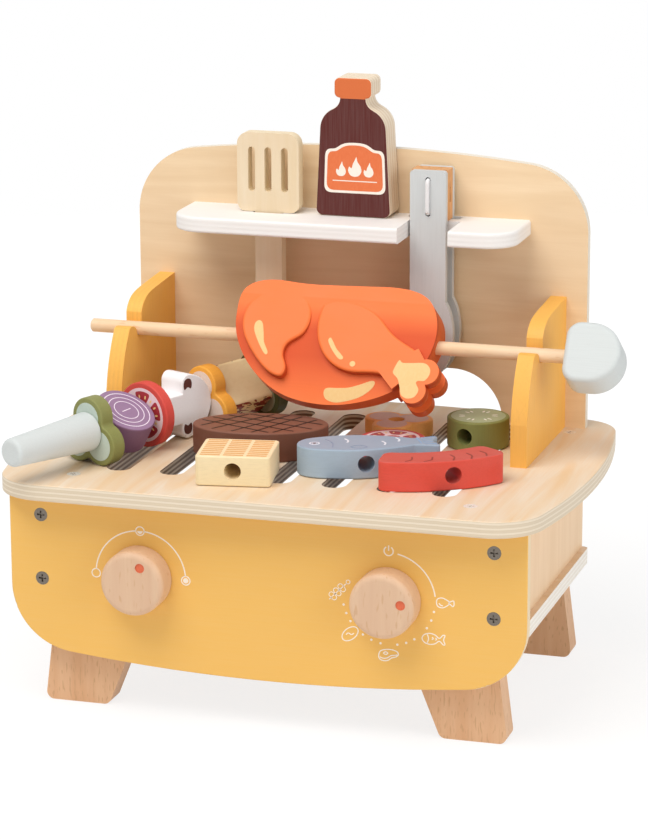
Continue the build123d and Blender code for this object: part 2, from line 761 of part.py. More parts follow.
def loose_tomato():
    piece = slab(Circle(tomato_radius) - Circle(food_bore_radius), slice_thickness)
    return food_place(loose_tomato_place) * piece


def cucumber():
    piece = slab(Circle(cucumber_radius))
    return food_place(cucumber_place, -cucumber_turn) * (piece - cross_bore(2 * cucumber_radius))


# ---- skewer and its food ---------------------------------------------------------------------------------
# Plane across the skewer: X to the left, Y up, Z along it away from the grip
skewer_back = (math.sin(math.radians(skewer_turn)), math.cos(math.radians(skewer_turn)), 0)
skewer_left = (-skewer_back[1], skewer_back[0], 0)
skewer_plane = Plane(origin=(skewer_place[0], skewer_place[1], skewer_z), x_dir=skewer_left,
                     z_dir=skewer_back)
skewer_lengths = {"front_pepper": slice_thickness, "onion": 2 * onion_radius,
                  "tomato": skewer_tomato_thickness, "mushroom": mushroom_length,
                  "middle_pepper": slice_thickness, "bacon": bacon_length,
                  "rear_pepper": slice_thickness}
skewer_starts = {}
reach = -slice_thickness / 2
for piece_name, piece_length in skewer_lengths.items():
    skewer_starts[piece_name] = reach
    reach += piece_length + skewer_food_gap
skewer_end = reach - skewer_food_gap + skewer_tail


def threaded(piece, name):
    """Put a piece drawn from Z = 0 in its place along the skewer, with its bore."""
    length = skewer_lengths[name]
    piece -= Cylinder(food_bore_radius, 2 * (length + overrun))
    return skewer_plane * Pos(0, 0, skewer_starts[name]) * piece


def standing(half_height):
    """Height of a piece's middle over the skewer's axis when it stands on the top."""
    return seat_gap + half_height - skewer_rise


def skewer_pepper(name):
    drop = pepper_lobe_offset / 2 + pepper_lobe_radius
    return threaded(slab(Pos(0, standing(drop)) * pepper_outline(), slice_thickness), name)


def skewer_onion():
    low = (Align.CENTER, Align.CENTER, Align.CENTER)
    disc = Cylinder(onion_radius, onion_thickness, align=low)
    disc = fillet(disc.edges(), food_edge_round)
    disc = Pos(0, 0, onion_radius) * Rot(0, 0, 90 - onion_lean) * Rot(90, 0, 0) * disc
    return threaded(disc, "onion")


def skewer_tomato():
    outline = Pos(0, standing(tomato_radius)) * Circle(tomato_radius)
    return threaded(slab(outline, skewer_tomato_thickness), "tomato")


def skewer_mushroom():
    stem, cap, rim = mushroom_stem_half_width, mushroom_cap_half_width, mushroom_rim_round
    middle = standing(cap)
    neck = mushroom_stem_length
    crown = mushroom_length
    half_cap = Ellipse(crown - neck, cap) & Rectangle(crown, 2 * cap, align=(Align.MIN, Align.CENTER))
    outline = Pos(neck, middle) * half_cap
    outline += Rectangle(neck + rim, 2 * stem, align=(Align.MIN, Align.CENTER))
    tips = [v for v in outline.vertices() if abs(v.Y - middle) > cap - rim / 2]
    outline = fillet(tips, rim)
    side = Plane(origin=(food_thickness / 2, 0, 0), x_dir=(0, 0, 1), z_dir=(-1, 0, 0))
    return threaded(side * slab(outline), "mushroom")


def skewer_bacon():
    low = (Align.CENTER, Align.CENTER, Align.MIN)
    strip = Rectangle(bacon_width, bacon_thickness)
    strip = fillet(strip.vertices(), bacon_corner_radius)
    piece = Rot(0, 0, bacon_roll) * flat(strip, 0, bacon_length)
    return threaded(piece, "bacon")


def skewer_rod():
    start = skewer_starts["front_pepper"] - grip_gap - grip_rod_depth
    rod = skewer_plane * Pos(0, 0, start) * Cylinder(
        rod_radius, skewer_end - start, align=(Align.CENTER, Align.CENTER, Align.MIN))
    return chamfer(rod.edges().sort_by(Axis.Y)[-1:], rod_end_round)


def skewer_grip():
    far = skewer_starts["front_pepper"] - grip_gap
    low = (Align.CENTER, Align.CENTER, Align.MIN)
    grip = Cone(grip_near_radius, grip_far_radius, grip_length, align=low)
    grip = fillet(grip.edges().group_by(Axis.Z)[0], grip_round)
    grip = fillet(grip.edges().group_by(Axis.Z)[-1], food_edge_round)
    bore = Pos(0, 0, grip_length - grip_rod_depth - glue_gap)
    grip -= bore * Cylinder(rod_radius + glue_gap, grip_rod_depth + overrun, align=low)
    return skewer_plane * Pos(0, 0, far - grip_length) * grip


# ---- utensils ---------------------------------------------------------------------------------------------
def sauce_bottle():
    foot, shoulder, neck, cap = (bottle_half_width, bottle_shoulder_half_width,
                                 bottle_neck_half_width, bottle_cap_half_width)
    side = [(foot, 0), (shoulder, bottle_shoulder_height), (neck, bottle_neck_height),
            (neck, bottle_cap_bottom + bottle_cap_round)]
    outline = Polygon(*(side + [(-x, z) for x, z in reversed(side)]), align=None)
    for height, radius in ((0, bottle_foot_round), (bottle_shoulder_height, bottle_shoulder_round),
                           (bottle_neck_height, bottle_neck_round)):
        corners = [v for v in outline.vertices() if abs(v.Y - height) < glue_gap]
        outline = fillet(corners, radius)
    cap_height = bottle_height - bottle_cap_bottom
    outline += Pos(0, bottle_cap_bottom + cap_height / 2) * RectangleRounded(2 * cap, cap_height,
                                                                              bottle_cap_round)
    rear = board_front_y - bottle_rear_gap
    piece = upright(Pos(bottle_x, utensil_z) * outline, rear - bottle_thickness, bottle_thickness)
    return fillet(piece.faces().filter_by(Axis.Y).edges(), bottle_edge_round)


def spatula():
    head = Rectangle(2 * spatula_head_half_width, spatula_head_height, align=(Align.CENTER, Align.MIN))
    head = fillet(head.vertices().group_by(Axis.Y)[-1], spatula_head_round)
    head = fillet(head.vertices().group_by(Axis.Y)[0], spatula_foot_round)
    handle = Rectangle(2 * spatula_handle_half_width, spatula_handle_length + spatula_foot_round,
                       align=(Align.CENTER, Align.MAX))
    handle = fillet(handle.vertices().group_by(Axis.Y)[0], spatula_handle_round)
    outline = head + Pos(0, spatula_foot_round) * handle
    slot = Rot(0, 0, 90) * SlotOverall(spatula_slot_length, spatula_slot_width)
    for step in (-1, 0, 1):
        outline -= Pos(step * spatula_slot_pitch, spatula_slot_rise + spatula_slot_length / 2) * slot
    piece = upright(Pos(spatula_x, utensil_z) * outline, spatula_front_y, spatula_thickness)
    return piece


def elastic_holes():
    """Bars through both arms and the spacer, at the elastic's two heights."""
    depth = 2 * tongs_arm_thickness + tongs_spacer_thickness
    holes = []
    for rise in (elastic_low, elastic_high):
        start = (tongs_x, tongs_front_y - overrun, utensil_z + rise)
        holes.append(bar(start, to_back, elastic_radius + elastic_gap, depth + 2 * overrun))
    return holes


def tongs_arm(front_y):
    """A flat arm with an oval jaw, seen from the front."""
    half, jaw, long = tongs_arm_half_width, tongs_jaw_half_width, tongs_jaw_half_height
    jaw_middle = long - tongs_reach
    height = tongs_spacer_height - jaw_middle
    strip = Rectangle(2 * half, height, align=(Align.CENTER, Align.MIN))
    strip = fillet(strip.vertices().group_by(Axis.Y)[-1], tongs_top_round)
    outline = Pos(0, jaw_middle) * strip + Pos(0, jaw_middle) * Ellipse(jaw, long)
    arm = upright(Pos(tongs_x, utensil_z) * outline, front_y, tongs_arm_thickness)
    for hole in elastic_holes():
        arm -= hole
    return arm


def tongs_front_arm():
    return tongs_arm(tongs_front_y)


def tongs_rear_arm():
    """The rear arm has grip grooves on the inside of its jaw."""
    arm = tongs_arm(tongs_rear_y)
    jaw_middle = utensil_z + tongs_jaw_half_height - tongs_reach
    for index in range(groove_count):
        z = jaw_middle + (index - (groove_count - 1) / 2) * groove_pitch
        arm -= Pos(tongs_x, tongs_rear_y, z) * Box(groove_length, 2 * groove_depth, groove_width)
    return arm


def tongs_spacer():
    half = tongs_arm_half_width
    front = tongs_front_y + tongs_arm_thickness
    spacer = block(tongs_x - half, tongs_x + half, front, tongs_rear_y, utensil_z,
                   utensil_z + tongs_spacer_height)
    for hole in elastic_holes():
        spacer -= hole
    middle = (front + tongs_rear_y) / 2
    high = utensil_z + tongs_spacer_height / 2
    pocket = Box(2 * pocket_depth, pocket_width, pocket_height)
    return spacer - Pos(tongs_x + half, middle, high) * pocket


def tongs_elastic():
    """A closed loop through both holes and over both arms."""
    front = tongs_front_y - elastic_gap - elastic_radius
    rear = tongs_rear_y + tongs_arm_thickness + elastic_gap + elastic_radius
    low, high = utensil_z + elastic_low, utensil_z + elastic_high
    bend = 1.5 * elastic_radius
    loop = Pos((front + rear) / 2, (low + high) / 2) * RectangleRounded(rear - front, high - low, bend)
    loop = Plane(origin=(tongs_x, 0, 0), x_dir=(0, 1, 0), z_dir=(1, 0, 0)) * loop
    path = loop.wire()
    start = path @ 0
    section = Plane(origin=start, z_dir=path % 0) * Circle(elastic_radius)
    return sweep(section, path=path)


# ---- the whole grill -----------------------------------------------------------------------------------------
def build_all():
    """Every piece by name."""
    pieces = {"front_panel": front_panel(), "front_rail": front_rail(), "side_panel_right": side_panel(),
              "bottom_plate": bottom_plate(), "grill_top": grill_top(), "backboard": backboard(),
              "shelf": shelf(), "spit_bracket_right": bracket()}
    pieces["side_panel_left"] = mirror_x(pieces["side_panel_right"])
    pieces["spit_bracket_left"] = mirror_x(pieces["spit_bracket_right"])
    for row, name in enumerate(("front", "rear")):
        pieces["leg_" + name + "_right"] = leg(row)
        pieces["leg_" + name + "_left"] = mirror_x(leg(row))
    for name in screw_sets:
        pieces[name] = screws(name)
    for side, name in ((-1, "left"), (1, "right")):
        pieces["knob_" + name] = knob(side)
        pieces["knob_screw_" + name] = knob_screw(side)
        pieces["knob_washer_" + name] = knob_washer(side)
    pieces.update({"spit_rod": spit_rod(), "spit_handle": spit_handle(), "roast_chicken": roast()})
    pieces.update({"corn": corn(), "steak": steak(), "fish": fish(), "sausage": sausage(),
                   "pepper_slice_loose": loose_pepper(), "tomato_slice_loose": loose_tomato(),
                   "cucumber": cucumber()})
    pieces.update({"skewer_rod": skewer_rod(), "skewer_grip": skewer_grip(),
                   "skewer_pepper_front": skewer_pepper("front_pepper"),
                   "skewer_onion": skewer_onion(), "skewer_tomato": skewer_tomato(),
                   "skewer_mushroom": skewer_mushroom(),
                   "skewer_pepper_middle": skewer_pepper("middle_pepper"),
                   "skewer_bacon": skewer_bacon(),
                   "skewer_pepper_rear": skewer_pepper("rear_pepper")})
    pieces.update({"sauce_bottle": sauce_bottle(), "spatula": spatula(),
                   "tongs_arm_front": tongs_front_arm(), "tongs_arm_rear": tongs_rear_arm(),
                   "tongs_spacer": tongs_spacer(), "tongs_elastic": tongs_elastic()})
    return pieces


pieces = build_all()
whole = Compound(children=[Compound(children=list(piece.solids())) for piece in pieces.values()])
box = whole.bounding_box()
centre_x = (box.min.X + box.max.X) / 2
centre_y = (box.min.Y + box.max.Y) / 2
os.makedirs("parts", exist_ok=True)
for name, piece in pieces.items():
    solids = [Pos(-centre_x, -centre_y, 0) * solid for solid in piece.solids()]
    export_step(solids[0] if len(solids) == 1 else Compound(children=solids), "parts/" + name + ".step")
    print(name, len(solids), "solids", round(sum(solid.volume for solid in solids)), "mm3")
print("centre", round(centre_x, 3), round(centre_y, 3), "size", box.size)
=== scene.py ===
# %% [markdown]
# # A wooden toy barbecue grill
# The real toy is birch plywood, beech and painted wooden food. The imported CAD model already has
# every solid in its place, so this lesson leaves the shapes alone, and gives each of them the
# finish of the real thing: veneer and glue lines, beech with its flecks, satin paint, and the
# small printed and painted marks, which are thin meshes lying on the wood.

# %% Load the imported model
import bpy, bmesh, math
from mathutils import Matrix, Vector


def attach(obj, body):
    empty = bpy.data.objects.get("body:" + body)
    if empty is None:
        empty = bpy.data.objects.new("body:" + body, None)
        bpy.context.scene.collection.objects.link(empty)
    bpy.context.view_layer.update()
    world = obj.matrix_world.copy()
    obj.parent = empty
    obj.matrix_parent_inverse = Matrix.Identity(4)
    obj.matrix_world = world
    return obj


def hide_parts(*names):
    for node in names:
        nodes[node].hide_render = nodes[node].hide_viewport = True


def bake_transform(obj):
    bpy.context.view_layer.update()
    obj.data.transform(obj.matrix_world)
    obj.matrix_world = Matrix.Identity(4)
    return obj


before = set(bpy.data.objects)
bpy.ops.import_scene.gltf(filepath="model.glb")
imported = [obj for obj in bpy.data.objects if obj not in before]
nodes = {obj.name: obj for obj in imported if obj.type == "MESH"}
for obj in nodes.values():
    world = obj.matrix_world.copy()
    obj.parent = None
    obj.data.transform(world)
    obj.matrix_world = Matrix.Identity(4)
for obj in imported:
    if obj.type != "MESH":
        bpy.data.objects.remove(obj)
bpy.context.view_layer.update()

# %% [markdown]
# ## Millimetres to metres
# The toy was measured in millimetres from the middle of its front panel, at the panel's face.
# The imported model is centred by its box, so one small function moves a measured point over. All
# marks and prints below are written in the measured millimetres, which keeps them readable.

# %% From the drawing's millimetres to the model's metres
middle_x, middle_y = 4.25, 95.124

def spot(x, y, z):
    """A point of the drawing, in millimetres, as a point of the model in metres."""
    return Vector(((x - middle_x) / 1000, (y - middle_y) / 1000, z / 1000))

print("front of the left knob:", tuple(round(v, 4) for v in spot(-72, -16.4, 82.6)))

# %% [markdown]
# ## Camera
# The picture was taken with a long lens from the right, a little above the toy. A camera could
# be aimed with a constraint, but its fitted angles are known, so its axes are built straight
# from the turn, the dip and the small roll.

# %% Camera
turn, dip, roll = 0.30113655, 0.25807195, -0.0045605
ahead = Vector((-math.sin(turn) * math.cos(dip), math.cos(turn) * math.cos(dip), -math.sin(dip)))
level = Vector((math.cos(turn), math.sin(turn), 0))
rising = level.cross(ahead)
across = level * math.cos(roll) + rising * math.sin(roll)
upward = rising * math.cos(roll) - level * math.sin(roll)
camera_data = bpy.data.cameras.new("camera")
camera_data.lens = 142.96
camera = bpy.data.objects.new("camera", camera_data)
bpy.context.scene.collection.objects.link(camera)
camera.matrix_world = (Matrix.Translation(spot(553.7463, -1668.5184, 642.2137))
                       @ Matrix((across, upward, -ahead)).transposed().to_4x4())
bpy.context.scene.camera = camera
bpy.context.scene.view_settings.view_transform = "Standard"
print("camera stands at", tuple(round(v, 3) for v in camera.matrix_world.translation))

# %% [markdown]
# ## Helpers for node trees
# Colours are read off the picture as sRGB hex values, and Blender works in linear light, so one
# function turns them. The other adds a node: its properties come by name, and each input takes a
# plain value, a hex colour, an output, or a node, which stands for its first working output.

# %% Colour and node helpers
def colour(code):
    """An sRGB hex value as linear red, green, blue and alpha."""
    parts = [int(code[i:i + 2], 16) / 255 for i in (1, 3, 5)]
    return tuple(p / 12.92 if p <= 0.04045 else ((p + 0.055) / 1.055) ** 2.4 for p in parts) + (1.0,)

def join(tree, value, socket):
    """Link a value to an input, or set it there if it is plain."""
    if isinstance(value, bpy.types.Node):
        value = next(output for output in value.outputs if output.enabled)
    if isinstance(value, bpy.types.NodeSocket):
        tree.links.new(value, socket)
    else:
        socket.default_value = colour(value) if isinstance(value, str) else value

def add(tree, kind, inputs=None, **settings):
    """Add a node, set its properties, then fill or link its inputs."""
    node = tree.nodes.new(kind if "Node" in kind else "ShaderNode" + kind)
    for name, value in settings.items():
        setattr(node, name, value)
    for key, value in (inputs or {}).items():
        join(tree, value, node.inputs[key])
    return node

print("birch in linear light:", [round(v, 3) for v in colour("#EFD3A8")])

# %% [markdown]
# ## Floor, background and light
# The toy stands on a white studio sweep with soft daylight from above. The floor is a disc: near
# the toy it takes the shadow, and further out it fades into plain white for the camera, while
# the light that it throws back on the wood stays that of an ordinary pale floor.

# %% Floor
def seen_rays(tree):
    """1 for rays that show the background: camera, glossy and transmission rays."""
    rays = add(tree, "LightPath").outputs
    some = add(tree, "Math", {0: rays["Is Camera Ray"], 1: rays["Is Glossy Ray"]},
               operation="MAXIMUM")
    return add(tree, "Math", {0: some, 1: rays["Is Transmission Ray"]}, operation="MAXIMUM")

def empty_tree(owner):
    """The cleared node tree of a material or a world."""
    owner.use_nodes = True
    owner.node_tree.nodes.clear()
    return owner.node_tree

def show(piece):
    """Link an object to the scene, and give it back."""
    bpy.context.scene.collection.objects.link(piece)
    return piece

sweep = bpy.data.materials.new("studio_sweep")
tree = empty_tree(sweep)
away = add(tree, "VectorMath", {0: add(tree, "TexCoord").outputs["Object"]}, operation="LENGTH")
fade = add(tree, "MapRange", {"Value": away, "From Min": 0.22, "From Max": 0.62,
                              "To Min": 0.75, "To Max": 1.0}, interpolation_type="SMOOTHSTEP")
share = add(tree, "Math", {0: fade, 1: seen_rays(tree)}, operation="MULTIPLY")
paper = add(tree, "BsdfDiffuse", {"Color": "#FAF9F8"})
glow = add(tree, "Emission", {"Color": "#FFFFFF", "Strength": 1.06})
add(tree, "OutputMaterial", {"Surface": add(tree, "MixShader", {0: share, 1: paper, 2: glow})})

floor_radius = 1.4
rim = [(floor_radius * math.cos(math.radians(a)), floor_radius * math.sin(math.radians(a)), 0)
       for a in range(0, 360, 5)]
floor_mesh = bpy.data.meshes.new("floor")
floor_mesh.from_pydata(rim, [], [list(range(len(rim)))])
floor_mesh.materials.append(sweep)
show(bpy.data.objects.new("floor", floor_mesh))
print("floor of", floor_radius, "m radius")

# %% World and lamps
world = bpy.data.worlds.new("studio")
bpy.context.scene.world = world
tree = empty_tree(world)
daylight = add(tree, "Background", {"Color": "#FFFDFC", "Strength": 0.46})
white = add(tree, "Background", {"Color": "#FFFFFF", "Strength": 1.0})
pick = add(tree, "MixShader", {0: seen_rays(tree), 1: daylight, 2: white})
add(tree, "OutputWorld", {"Surface": pick})

def softbox(name, place, power, warmth="#FFFFFF"):
    """A square area lamp that looks at the toy."""
    data = bpy.data.lights.new(name, "AREA")
    data.shape, data.size, data.energy = "SQUARE", 1.1, power
    data.color = colour(warmth)[:3]
    lamp = show(bpy.data.objects.new(name, data))
    lamp.location = place
    aim = Vector((0, 0, 0.14)) - Vector(place)
    lamp.rotation_euler = aim.to_track_quat("-Z", "Y").to_euler()

softbox("key", (-0.30, -0.72, 1.55), 19.0, "#FFFCF8")
softbox("fill", (1.45, -0.55, 0.62), 7.0)
print("world and two lamps")

# %% [markdown]
# ## Birch plywood
# Birch plywood is thin sheets of peeled birch, glued crosswise and sanded, with a clear matt
# coat. A picture of wood could be wrapped round it, but here the pattern is worked out from the
# place in the block: wide soft figure and fine fibres on the faces, and the glued layers on the
# edges. The surface normal tells a face from an edge, so a cut-out shows its layers too. Inside
# the slots of the grill top the layers carry painted shade, a brown laid over the walls.

# %% Steps that every finish shares
axes = "XYZ"

def start_finish(name, roughness):
    """A material with its tree, its shader and its coordinates."""
    material = bpy.data.materials.new(name)
    tree = empty_tree(material)
    shader = add(tree, "BsdfPrincipled", {"Roughness": roughness, "IOR": 1.5,
                                          "Specular IOR Level": 0.3})
    add(tree, "OutputMaterial", {"Surface": shader})
    return material, tree, shader, add(tree, "TexCoord").outputs

def fibres(tree, coords, along, wide, long, detail=3.0, distortion=0.0, turned=0.0):
    """Noise drawn out along an axis: wide and long are its grain size in millimetres."""
    scale = [1000 / wide] * 3
    scale[axes.index(along)] = 1000 / long
    place = add(tree, "Mapping", {"Vector": coords["Object"], "Scale": scale,
                                  "Rotation": (0, 0, turned)})
    return add(tree, "TexNoise", {"Vector": place, "Scale": 1.0, "Detail": detail,
                                  "Distortion": distortion}).outputs["Fac"]

def stain(tree, under, tint, value, low=0.0, high=1.0, most=1.0):
    """Lay a tint over a colour, from nothing where a value is low to the most where it is high."""
    share = add(tree, "MapRange", {0: value, 1: low, 2: high, 4: most})
    return add(tree, "Mix", {0: share, 6: under, 7: tint}, data_type="RGBA")

def glued_layers(tree, position, low, thick, layers, wobble=0.0):
    """0 to 1 and back across each pair of layers; low and thick are in millimetres."""
    height = add(tree, "MapRange", {0: position, 1: low / 1000, 2: (low + thick) / 1000,
                                    4: float(layers)})
    height = add(tree, "Math", {0: height, 1: wobble}, operation="ADD")
    return add(tree, "Math", {0: height, 1: 1.0}, operation="PINGPONG")

def on_edges(tree, normal):
    """1 where a surface is an edge of the sheet, from its normal's share across the layers."""
    size = add(tree, "Math", {0: normal}, operation="ABSOLUTE")
    return add(tree, "MapRange", {0: size, 1: 0.6, 2: 0.5})

def settle(material, tree, shader, skin, relief, strength=0.2, depth=0.12):
    """Give a finish its colour and its relief, whose depth is in millimetres."""
    join(tree, skin, shader.inputs["Base Color"])
    join(tree, add(tree, "Bump", {"Height": relief, "Strength": strength,
                                  "Distance": depth / 1000}), shader.inputs["Normal"])
    return material

def dress(material, *names):
    """Give CAD nodes a material in every slot they have."""
    for name in names:
        for one in nodes[name].material_slots:
            one.material = material
    return material

print("helpers for finishes ready for", len(nodes), "nodes")

# %% Plywood finish
def plywood(name, thin, along, low, thick, layers, veneer="#F2D9BE", figure="#E8C7A0",
            edge="#F3ECDF", line="#D6C9B2", front=None, rear=None, cap=None, slot_shade=None):
    """Birch plywood; thin is the axis across the layers, low its first value in millimetres.

    front and rear are painted faces, cap the height and colour of a painted top, and slot_shade
    the half width, the first and last y, and the colour of the painted shade on the slots' walls.
    """
    material, tree, shader, coords = start_finish(name, 0.5)
    normal = add(tree, "SeparateXYZ", {0: coords["Normal"]}).outputs[thin]
    position = add(tree, "SeparateXYZ", {0: coords["Object"]}).outputs
    wide = fibres(tree, coords, along, 16, 170, 3.0, 1.6)
    fine = fibres(tree, coords, along, 0.9, 22, 2.0)
    faces = stain(tree, veneer, figure, wide, 0.38, 0.68)
    faces = stain(tree, faces, figure, fine, 0.35, 0.75, 0.35)
    for paint, sign in ((front, -1), (rear, 1)):
        if paint:
            coat = stain(tree, paint, "#FFFFFF", fine, 0.3, 0.7, 0.02)
            if cap:
                coat = stain(tree, coat, cap[1], position["Z"], cap[0] / 1000 - 0.0001,
                             cap[0] / 1000)
            faces = stain(tree, faces, coat, normal, 0.55 * sign, 0.65 * sign)
    wobble = add(tree, "MapRange", {0: fibres(tree, coords, along, 9, 40, 1.0), 3: -0.12, 4: 0.12})
    fold = glued_layers(tree, position[thin], low, thick, layers, wobble)
    layer = add(tree, "MapRange", {0: fold, 1: 0.35, 2: 0.65})
    glue = add(tree, "Math", {0: fold, 1: 0.5, 2: 0.09}, operation="COMPARE")
    plies = stain(tree, edge, line, layer, most=0.45)
    plies = stain(tree, plies, line, glue, most=0.55)
    # Painted shade: inside the slots the layers are darkened towards the brown shade colour.
    if slot_shade:
        half_width, first_y, last_y, shade = slot_shade
        aside = add(tree, "Math", {0: position["X"]}, operation="ABSOLUTE")
        slot_shade_share = add(tree, "MapRange", {0: layer, 3: 0.2, 4: 0.85})
        for value, bound, way in ((aside, half_width, 1), (position["Y"], first_y, -1),
                                  (position["Y"], last_y, 1)):
            within = add(tree, "MapRange", {0: value, 1: (bound + way) / 1000, 2: bound / 1000})
            slot_shade_share = add(tree, "Math", {0: slot_shade_share, 1: within}, operation="MULTIPLY")
        plies = stain(tree, plies, shade, slot_shade_share)
    on_edge = on_edges(tree, normal)
    relief = add(tree, "MapRange", {0: layer, 4: 0.6})
    relief = add(tree, "Math", {0: relief, 1: on_edge, 2: fine}, operation="MULTIPLY_ADD")
    return settle(material, tree, shader, stain(tree, faces, plies, on_edge), relief, 0.25)

# %% Plywood pieces
# The walls of the top's slots get painted shade in the brown #63401F.
dress(plywood("birch_ply_top", "Z", "Y", 126.4, 9.6, 7, veneer="#E9D9C4", figure="#E6C7A0",
              edge="#E8DBC6", line="#CAB798",
              slot_shade=(112, 20 - middle_y, 186 - middle_y, "#63401F")), "grill_top")
dress(plywood("birch_ply_plate", "Z", "X", 51.8, 9.3, 7, edge="#FDFAF2", line="#E8DFD1"),
      "bottom_plate")
dress(plywood("birch_ply_sides", "X", "Z", -140, 9.0, 7, veneer="#F5D6B1", figure="#EECDA5"),
      "side_panel_left", "side_panel_right")
dress(plywood("birch_ply_backboard", "Y", "X", 186.9 - middle_y, 5.8, 5, veneer="#F0D6B2",
              figure="#E8CBA4"), "backboard")
dress(plywood("front_panel_paint", "Y", "X", -middle_y, 6.0, 5, edge="#F1DFBE", line="#DFC493",
              front="#EFBD63"), "front_panel")
dress(plywood("birch_ply_rail", "Y", "X", 6.0 - middle_y, 9.5, 7), "front_rail")
dress(plywood("bottle_paint", "Y", "Z", 166.5 - middle_y, 20.0, 9, edge="#EFE1CB",
              line="#D6BA94", front="#57201B", rear="#57201B", cap=(328.8, "#D6703E")),
      "sauce_bottle")
dress(plywood("birch_spatula", "Y", "Z", 60, 60, 1, veneer="#E9D7BC", figure="#E3CDAA",
              edge="#E9D7B6", line="#E6C698"), "spatula")
print("plywood dressed on nine pieces")

# %% [markdown]
# ## Beech
# The legs, the dowels, the knobs and the spacer of the tongs are solid beech. Beech is even and
# pinkish, with short dark flecks in line with the grain, about half a millimetre wide. The
# flecks are noise drawn out along the grain and cut off high, over a faint wide figure.

# %% Beech finish
def beech(name, along, base, deep, fleck, flecks, wide=1.5, long=7.0):
    """Solid beech with its grain along an axis; a higher flecks gives fewer of them."""
    material, tree, shader, coords = start_finish(name, 0.5)
    figure = fibres(tree, coords, along, 7, 90, 3.0, 0.8)
    fine = fibres(tree, coords, along, 0.6, 14, 2.0)
    dash = fibres(tree, coords, along, wide, long, 0.0)
    wood = stain(tree, base, deep, figure, 0.35, 0.7)
    wood = stain(tree, wood, deep, fine, 0.4, 0.75, 0.3)
    wood = stain(tree, wood, fleck, dash, flecks, flecks + 0.09, 0.75)
    relief = add(tree, "Math", {0: dash, 1: -0.6, 2: fine}, operation="MULTIPLY_ADD")
    return settle(material, tree, shader, wood, relief, 0.3, 0.1)

dress(beech("beech_legs", "Z", "#E6BC95", "#DEAF86", "#CDA078", 0.65, wide=0.9, long=5.0),
      "leg_front_left", "leg_front_right", "leg_rear_left", "leg_rear_right")
dress(beech("beech_knobs", "Z", "#DDBC9D", "#D7B395", "#CEA682", 0.7), "knob_left", "knob_right")
dress(beech("birch_dowel", "X", "#F4DABB", "#EBC79E", "#DDB186", 0.7), "spit_rod")
dress(beech("birch_dowel_long", "Y", "#F4DABB", "#EBC79E", "#DDB186", 0.7), "skewer_rod")
dress(beech("beech_spacer", "Z", "#DFA876", "#CC9058", "#A96D3C", 0.64), "tongs_spacer")
print("beech on nine pieces")

# %% [markdown]
# ## Satin paint
# The food, the handles, the brackets and the shelf are wood under satin water-based paint. The
# wood still shows through: fine fibres lift the paint a little, and its colour drifts slightly.
# An edge that was cut across the layers stays a touch rougher than a face.

# %% Paint finish
def paint(name, tint, along="X", top=None, roughness=0.55, drift=0.1, layers=None):
    """Satin paint; top is another colour for the upper face, layers are the plywood's edges."""
    material, tree, shader, coords = start_finish(name, roughness)
    relief = fine = fibres(tree, coords, along, 0.8, 18, 2.0)
    cloud = fibres(tree, coords, along, 14, 30, 2.0)
    normal = add(tree, "SeparateXYZ", {0: coords["Normal"]}).outputs
    skin = stain(tree, tint, top, normal["Z"], 0.5, 0.62) if top else tint
    skin = stain(tree, skin, "#FFFFFF", cloud, 0.3, 0.7, drift * 0.2)
    skin = stain(tree, skin, "#3A2A20", fine, 0.45, 0.75, drift * 0.6)
    if layers:
        thin, low, thick, count = layers
        position = add(tree, "SeparateXYZ", {0: coords["Object"]}).outputs[thin]
        layer = add(tree, "MapRange", {0: glued_layers(tree, position, low, thick, count),
                                       1: 0.35, 2: 0.65})
        band = add(tree, "Math", {0: layer, 1: on_edges(tree, normal[thin])}, operation="MULTIPLY")
        skin = stain(tree, skin, "#8A6A50", band, most=0.06)
        relief = add(tree, "Math", {0: band, 1: 1.2, 2: fine}, operation="MULTIPLY_ADD")
    return settle(material, tree, shader, skin, relief)

dress(paint("bracket_paint", "#F9BC58", "Z", layers=("X", -130.25, 9.5, 7)),
      "spit_bracket_left", "spit_bracket_right")
dress(paint("shelf_paint", "#F2F0EE", drift=0.05, layers=("Z", 249.7, 9.3, 7)), "shelf")
dress(paint("handle_paint", "#D0D6D6", drift=0.06), "spit_handle", "skewer_grip")
dress(paint("tongs_paint", "#CDD1D2", "Z", drift=0.08), "tongs_arm_front", "tongs_arm_rear")
dress(paint("mushroom_paint", "#FBFBFD", "Y", drift=0.04), "skewer_mushroom")
for name, tint, along, top, pieces in (
        ("corn_paint", "#F2E0B6", "X", "#F8E0B6", ["corn"]),
        ("steak_paint", "#764937", "X", "#81503C", ["steak"]),
        ("fish_paint", "#A5BACD", "X", "#98A6B8", ["fish"]),
        ("sausage_paint", "#DB4E3F", "X", "#C9554A", ["sausage"]),
        ("orange_pepper_paint", "#FFC474", "Y", None, ["pepper_slice_loose"]),
        ("tomato_paint", "#D64A40", "Y", None, ["tomato_slice_loose", "skewer_tomato"]),
        ("cucumber_paint", "#878C4E", "Z", None, ["cucumber"]),
        ("green_pepper_paint", "#86894F", "Y", None, ["skewer_pepper_front"]),
        ("dark_pepper_paint", "#4A4F26", "Y", None, ["skewer_pepper_rear"]),
        ("yellow_pepper_paint", "#F6AF43", "Y", None, ["skewer_pepper_middle"]),
        ("onion_paint", "#7E5A78", "Y", "#977899", ["skewer_onion"])):
    dress(paint(name, tint, along, top), *pieces)
print("materials so far:", len(bpy.data.materials))
